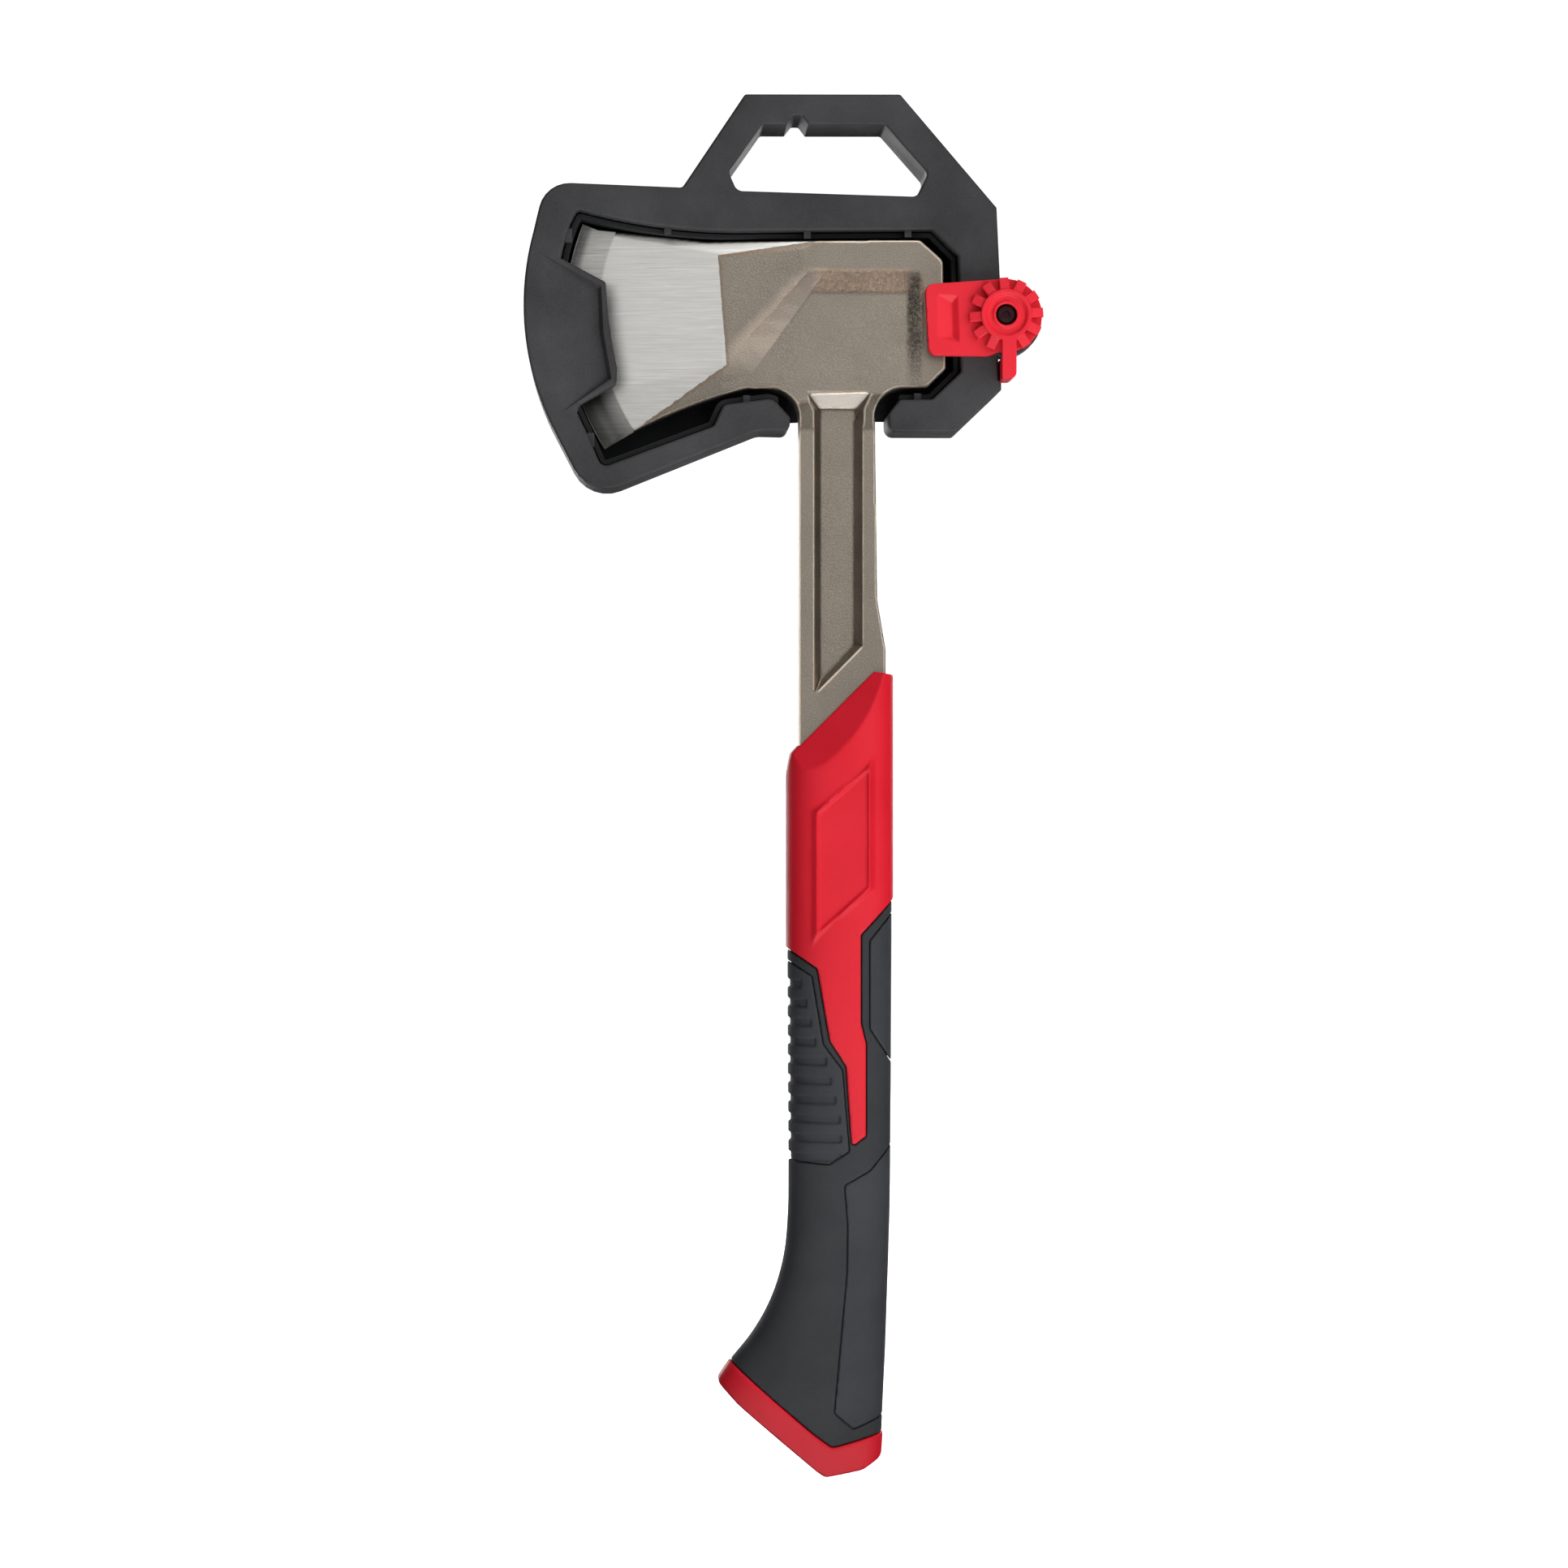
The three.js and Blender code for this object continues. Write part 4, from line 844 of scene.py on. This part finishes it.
def forging(honed):
    """The head, haft and tang up to the honed edge, or the honed edge alone."""
    slope = (BIT_SHOULDER_HALF - BEVEL_HALF) / (BIT_SHOULDER_X - EDGE_CENTRE[0] + BEVEL_RADIUS)
    nose_x = -80.0
    nose = BIT_SHOULDER_HALF - slope * (BIT_SHOULDER_X - nose_x)
    wedge = [(nose_x, -nose), (BIT_SHOULDER_X, -BIT_SHOULDER_HALF), (CHEEK_X, -HEAD_HALF),
             (60, -HEAD_HALF), (60, HEAD_HALF), (CHEEK_X, HEAD_HALF),
             (BIT_SHOULDER_X, BIT_SHOULDER_HALF), (nose_x, nose)]
    head = overlap(plate(HEAD, -HEAD_HALF, HEAD_HALF),
                   loft([[(x, y, z) for x, y in wedge] for z in (-130, -10)]))
    if honed:
        near = BEVEL_HALF + (BEVEL_HALF - EDGE_HALF) / (EDGE_RADIUS - BEVEL_RADIUS) * BEVEL_RADIUS
        head = overlap(head, turned(EDGE_CENTRE, [
            (0, -near), (EDGE_RADIUS, -EDGE_HALF), (EDGE_RADIUS + 4, -EDGE_HALF),
            (EDGE_RADIUS + 4, EDGE_HALF), (EDGE_RADIUS, EDGE_HALF), (0, near)], 240))
    toe, top, cheek = (-66, -1.9, -35.6), (-25.5, -8.3, -44.3), (8, -11, -39.7)
    heel, low, cheek_low = (-56, -3.0, -102.7), (-23.5, -8.45, -80), (-17.5, -9, -86.9)
    neck = [(0, -HEAD_HALF, -86), (10, -HEAD_HALF, -86), (0, -HAFT_HALF, -100), (0, -40, -120)]
    for planes in ([toe, top, cheek, (-20, -20, -20)], [heel, low, cheek_low, (-40, -20, -130)],
                   neck):
        head = cut(head, half_space(*planes), half_space(*mirror_y(planes)))
    if honed:
        return tidy(cut(head, disc(EDGE_CENTRE, BEVEL_RADIUS, -20, 20, 240),
                        block(-30, 60, -20, 20, -130, -20)))
    head = cut(head, dished(CHEEK_RECESS, 1), dished(CHEEK_RECESS, -1))
    left, right, half, tang_top, bottom = TANG
    whole = join(head, plate(HAFT, -HAFT_HALF, HAFT_HALF),
                 block(left, right, -half, half, bottom, tang_top))
    whole = cut(whole, *(recess(shape, sign) for shape in (CHANNEL, RAMP) for sign in (1, -1)))
    whole = skinned(whole, 0.4, 5, 0.4, 8)
    return overlap(whole, join(disc(EDGE_CENTRE, BEVEL_RADIUS, -20, 20, 240),
                               block(-30, 60, -20, 20, -400, -20)))


piece(forging(False), "forged_head_and_haft", "sheathed_hatchet", "coated_steel", [STEEL],
      "hatchet_forging", angle=50)
piece(forging(True), "honed_edge", "sheathed_hatchet", "coated_steel", [STEEL],
      "hatchet_forging", angle=30)


# ------------------------------------------------------------------ grip

def eased(values, t):
    """A smooth curve through evenly numbered values."""
    i = min(int(t), len(values) - 2)
    f = t - i
    p1, p2 = values[i], values[i + 1]
    p0 = values[i - 1] if i else 2 * p1 - p2
    p3 = values[i + 2] if i + 2 < len(values) else 2 * p2 - p1
    return 0.5 * (2 * p1 + (p2 - p0) * f + (2 * p0 - 5 * p1 + 4 * p2 - p3) * f * f
                  + (3 * p1 - p0 - 3 * p2 + p3) * f ** 3)


def grip_form(inset=0.0, around=72, per_station=8):
    rings = []
    count = len(GRIP_STATIONS)
    lefts = [Vector(s[0]) for s in GRIP_STATIONS]
    rights = [Vector(s[1]) for s in GRIP_STATIONS]
    depths = [s[2] for s in GRIP_STATIONS]
    for k in range((count - 1) * per_station + 1):
        t = k / per_station
        if t < 2:
            i, f = min(int(t), 1), t - min(int(t), 1)
            a, b = lefts[i].lerp(lefts[i + 1], f), rights[i].lerp(rights[i + 1], f)
            half = GRIP_HALF
        else:
            a, b, half = eased(lefts, t), eased(rights, t), eased(depths, t)
        middle, reach = (a + b) / 2, (b - a) / 2
        scale = (reach.length - inset) / reach.length
        ring = []
        for i in range(around):
            angle = math.tau * (i + 0.5) / around
            bend = [math.copysign(abs(v) ** (2 / GRIP_SQUARENESS), v)
                    for v in (math.cos(angle), math.sin(angle))]
            ring.append((middle.x + reach.x * bend[0] * scale, (half - inset) * bend[1],
                         middle.y + reach.y * bend[0] * scale))
        rings.append(ring)
    return loft(rings)


def region(entries):
    return plate(entries, -REACH, REACH)


def cap_clear():
    return region(grown(CAP_TOP, FIT))


def rubber_blank():
    body = cut(grip_form(OVERMOULD_INSET), grip_form(OVERMOULD_THICKNESS - FIT))
    return cut(overlap(body, region(BUTT)), cap_clear(), region(grown(RED_REGION, FIT)))


def grip_core():
    left, right, half, top, bottom = TANG
    hole = join(plate(grown(HAFT, FIT), -HAFT_HALF - FIT, HAFT_HALF + FIT),
                block(left - FIT, right + FIT, -half - FIT, half + FIT, bottom - FIT, top + 1))
    sleeve = join(overlap(grip_form(), region(RED_REGION)), loft(BADGE_BORDER),
                  loft([mirror_y(ring) for ring in BADGE_BORDER]))
    lower = cut(grip_form(OVERMOULD_INSET + SEAM_DEPTH), block(-60, 60, -40, 40, -240, -150))
    body = cut(overlap(join(sleeve, lower), region(BUTT)), cap_clear(), hole,
               region(SLEEVE_MOUTH), half_space(*SLEEVE_CHAMFER),
               half_space(*mirror_y(SLEEVE_CHAMFER)))
    return cut(body, *(slab(BADGE, [(s * BADGE_FLOOR, -0.3), (s * 13.8, 0), (s * REACH, 0)])
                       for s in (-1, 1)))


def front_pad():
    pad = overlap(rubber_blank(), region(FRONT_PAD))
    skin = cut(grip_form(-2), grip_form(OVERMOULD_INSET + RIB_DEPTH))
    slots = []
    for i in range(RIB_COUNT):
        z = RIB_TOP - RIB_PITCH * i
        right = min(14.2, 1.6 + 1.45 * i + (2.0 if i > 3 else 0))
        slots.append(region([(-20, z + 0.5), (-20, z - 2.3), (right, z - 2.8), (right, z)]))
    return cut(pad, overlap(join(slots[0], *slots[1:]), skin))


def overmould():
    body = rubber_blank()
    for pad in (FRONT_PAD, UPPER_BACK_PAD, LOWER_BACK_PAD):
        body = cut(body, region(grown(pad, FIT)))
    return body


def butt_cap():
    return overlap(grip_form(), region(BUTT), region(CAP_TOP))


core = piece(skinned(grip_core(), 0.45, 3, 0.5), "grip_red_core", "sheathed_hatchet", "grip_red",
             [GRIP_RED, RUBBER], "grip_core", angle=70)
red_outline = [Vector(p) for p in outline(RED_REGION)]
for polygon in core.data.polygons:
    spot = Vector((polygon.center.x, polygon.center.z)) / MM
    if not inside(spot, red_outline):
        polygon.material_index = 1
piece(skinned(overmould(), 0.4, 3, 0.5), "grip_rubber_skin", "sheathed_hatchet", "soft_rubber",
      [RUBBER], "grip_overmould", angle=70)
piece(skinned(front_pad(), 0.35, 3, 0.6), "grip_rib_pad", "sheathed_hatchet", "soft_rubber",
      [PAD_RUBBER], "front_rib_pad", angle=70)
for outline_of, name, node in ((UPPER_BACK_PAD, "grip_upper_pad", "upper_back_pad"),
                               (LOWER_BACK_PAD, "grip_lower_pad", "lower_back_pad")):
    piece(skinned(overlap(rubber_blank(), region(outline_of)), 0.4, 3, 0.6), name,
          "sheathed_hatchet", "soft_rubber", [PAD_RUBBER], node, angle=70)
piece(skinned(butt_cap(), 0.45, 10, 0.5), "grip_butt_cap", "sheathed_hatchet", "grip_red",
      [GRIP_RED], "butt_cap", angle=70)


# ------------------------------------------------------------------ latch

def latch_arm():
    arm = slab(LATCH_ARM, [(ARM_FRONT, 0), (ARM_BACK, 0)])
    arm = join(arm, disc(PIVOT, ARM_END_RADIUS, ARM_FRONT, ARM_BACK, 96))
    bore = disc(PIVOT, PIVOT_BORE, ARM_FRONT - 1, ARM_BACK + 1)
    return cut(arm, recess(THUMB_SCOOP, -1, 20), bore)


def thumb_tab(top, front, back):
    return plate([(TAB_LEFT, top), (TAB_RIGHT, top), (TAB_RIGHT, TAB_END, 2.0),
                  (TAB_LEFT, TAB_END, 0.4)], front, back)


def latch_dial():
    back = ARM_FRONT - FIT
    hub = turned(PIVOT, [
        (PIVOT_BORE, back), (DIAL_RIM, back), (DIAL_RIM, DIAL_FRONT), (6.9, DIAL_FRONT),
        (6.0, DIAL_FRONT + 1.2), (4.6, DIAL_FRONT + 1.2), (4.1, DIAL_FRONT + 0.5),
        (PIVOT_BORE, DIAL_FRONT + 0.5)], 96)
    inner, outer, low = DIAL_RIM - 0.6, TOOTH_OUTER, TOOTH_FRONT + 1.2
    teeth = []
    for i in range(DIAL_TEETH):
        tooth = loft([
            [(inner, back, -TOOTH_HALF), (outer, back, -TOOTH_HALF),
             (outer, back, TOOTH_HALF), (inner, back, TOOTH_HALF)],
            [(inner, TOOTH_FRONT, -TOOTH_HALF), (outer - 0.3, low, -TOOTH_HALF),
             (outer - 0.3, low, TOOTH_HALF), (inner, TOOTH_FRONT, TOOTH_HALF)]])
        turn = Matrix.Rotation(-math.radians(4 + 360 / DIAL_TEETH * i), 4, "Y")
        tooth.data.transform(Matrix.Translation((PIVOT[0], 0, PIVOT[1])) @ turn)
        teeth.append(tooth)
    return join(hub, *teeth, thumb_tab(PIVOT[1] - DIAL_RIM + 0.8, DIAL_FRONT, back),
                thumb_tab(-77.9, DIAL_FRONT + 1, -4.0))


piece(skinned(latch_arm(), 0.25, 4, 0.5), "latch_lever", "latch", "latch_red", [LATCH_RED],
      "latch_arm", angle=70)
piece(skinned(latch_dial(), 0.22, 3, 0.5), "latch_wheel", "latch", "latch_red", [LATCH_RED],
      "latch_dial", angle=70)

# ------------------------------------------------------------------ carried-over hardware

HARDWARE = {"threaded_insert": BRASS, "detent_spring": ZINC, "pivot_bush": ZINC,
            "pivot_washer": ZINC, "pivot_screw": BLACK_STEEL}
HARDWARE.update({f"tray_screw_{i}": ZINC for i in range(1, 7)})
for name, material in HARDWARE.items():
    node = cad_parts[name]
    node.data.materials.clear()
    node.data.materials.append(material)


# ------------------------------------------------------------------ stage, light, camera

FLOOR_Z = -0.475
ROOM_TOP, ROOM_HALF = 3.0, 3.0
CENTRE = (0.0, 0.0, -0.18)


def backdrop(name, faces, glow):
    """Pale studio surfaces that the lens sees, and that neither light nor shade the object."""
    mesh = bpy.data.meshes.new(name)
    h = ROOM_HALF
    corners = [(x, y, z) for z in (FLOOR_Z, ROOM_TOP)
               for x, y in ((-h, -h), (h, -h), (h, h), (-h, h))]
    mesh.from_pydata(corners, [], faces)
    obj = bpy.data.objects.new(name, mesh)
    bpy.context.scene.collection.objects.link(obj)
    p = Paint(name, Roughness=0.9)
    p.color(p.blend(p.noise(3, 3), (0.88, 0.88, 0.88, 1), (0.92, 0.92, 0.92, 1)))
    p.surface.inputs["Emission Color"].default_value = (1, 1, 1, 1)
    p.surface.inputs["Emission Strength"].default_value = glow
    mesh.materials.append(p.material)
    obj.visible_diffuse = obj.visible_glossy = obj.visible_shadow = False


backdrop("studio_floor", [(0, 1, 2, 3)], 0.95)
backdrop("studio_walls",
         [(0, 4, 5, 1), (1, 5, 6, 2), (2, 6, 7, 3), (3, 7, 4, 0), (4, 7, 6, 5)], 0.97)


def area_light(name, place, aim, size, watts):
    data = bpy.data.lights.new(name, "AREA")
    data.shape, data.size, data.size_y = "RECTANGLE", size[0], size[1]
    data.energy = watts
    obj = bpy.data.objects.new(name, data)
    bpy.context.scene.collection.objects.link(obj)
    obj.location = place
    obj.rotation_euler = (Vector(aim) - Vector(place)).to_track_quat("-Z", "Y").to_euler()
    return obj


key = area_light("key_right", (1.0, -0.75, 0.0), CENTRE, (0.8, 1.4), 9.5)
key.visible_glossy = False
area_light("front_soft", (0.75, -2.1, 0.1), CENTRE, (1.1, 1.4), 5.5)
area_light("top_soft", (0.1, -0.5, 0.95), CENTRE, (1.0, 0.7), 5.0)
under = area_light("under", (0.03, -0.42, -0.466), (0.03, -0.42, 0.0), (0.8, 0.5), 3.5)
under.visible_glossy = False
area_light("back_right", (0.7, 1.9, 0.4), CENTRE, (1.2, 1.4), 20.0)
area_light("back_left", (-0.9, 1.9, 0.1), CENTRE, (1.2, 1.4), 20.0)
# Panels that only shine back from glossy faces, like reflectors beside the lens and on the table.
for name, place, aim, size, watts in (
        ("reflector_front", (-0.4, -2.25, 0.6), CENTRE, (2.1, 2.2), 13.5),
        ("reflector_side", (1.0, -0.75, 0.0), CENTRE, (0.8, 1.4), 3.0),
        ("reflector_low", (0.03, -0.32, -0.466), (0.03, -0.32, 0.0), (0.8, 0.55), 9.0),
        ("reflector_top", (-0.2, -1.2, 1.25), CENTRE, (1.6, 1.0), 7.0)):
    area_light(name, place, aim, size, watts).visible_diffuse = False

world = bpy.data.worlds.new("studio")
bpy.context.scene.world = world
world.use_nodes = True
world.node_tree.nodes["Background"].inputs["Color"].default_value = (1, 1, 1, 1)
world.node_tree.nodes["Background"].inputs["Strength"].default_value = 0.04

camera_data = bpy.data.cameras.new("camera")
camera_data.lens, camera_data.sensor_width = 103.9, 36.0
camera_data.clip_start, camera_data.clip_end = 0.05, 50.0
camera = bpy.data.objects.new("camera", camera_data)
bpy.context.scene.collection.objects.link(camera)
camera.location = (-0.058, -1.4635, -0.2128)
aim = Vector((-0.0039, 0.0, -0.2144))
camera.rotation_euler = (aim - camera.location).to_track_quat("-Z", "Y").to_euler()
bpy.context.scene.camera = camera
bpy.context.scene.view_settings.view_transform = "Standard"
bpy.context.scene.view_settings.look = "None"
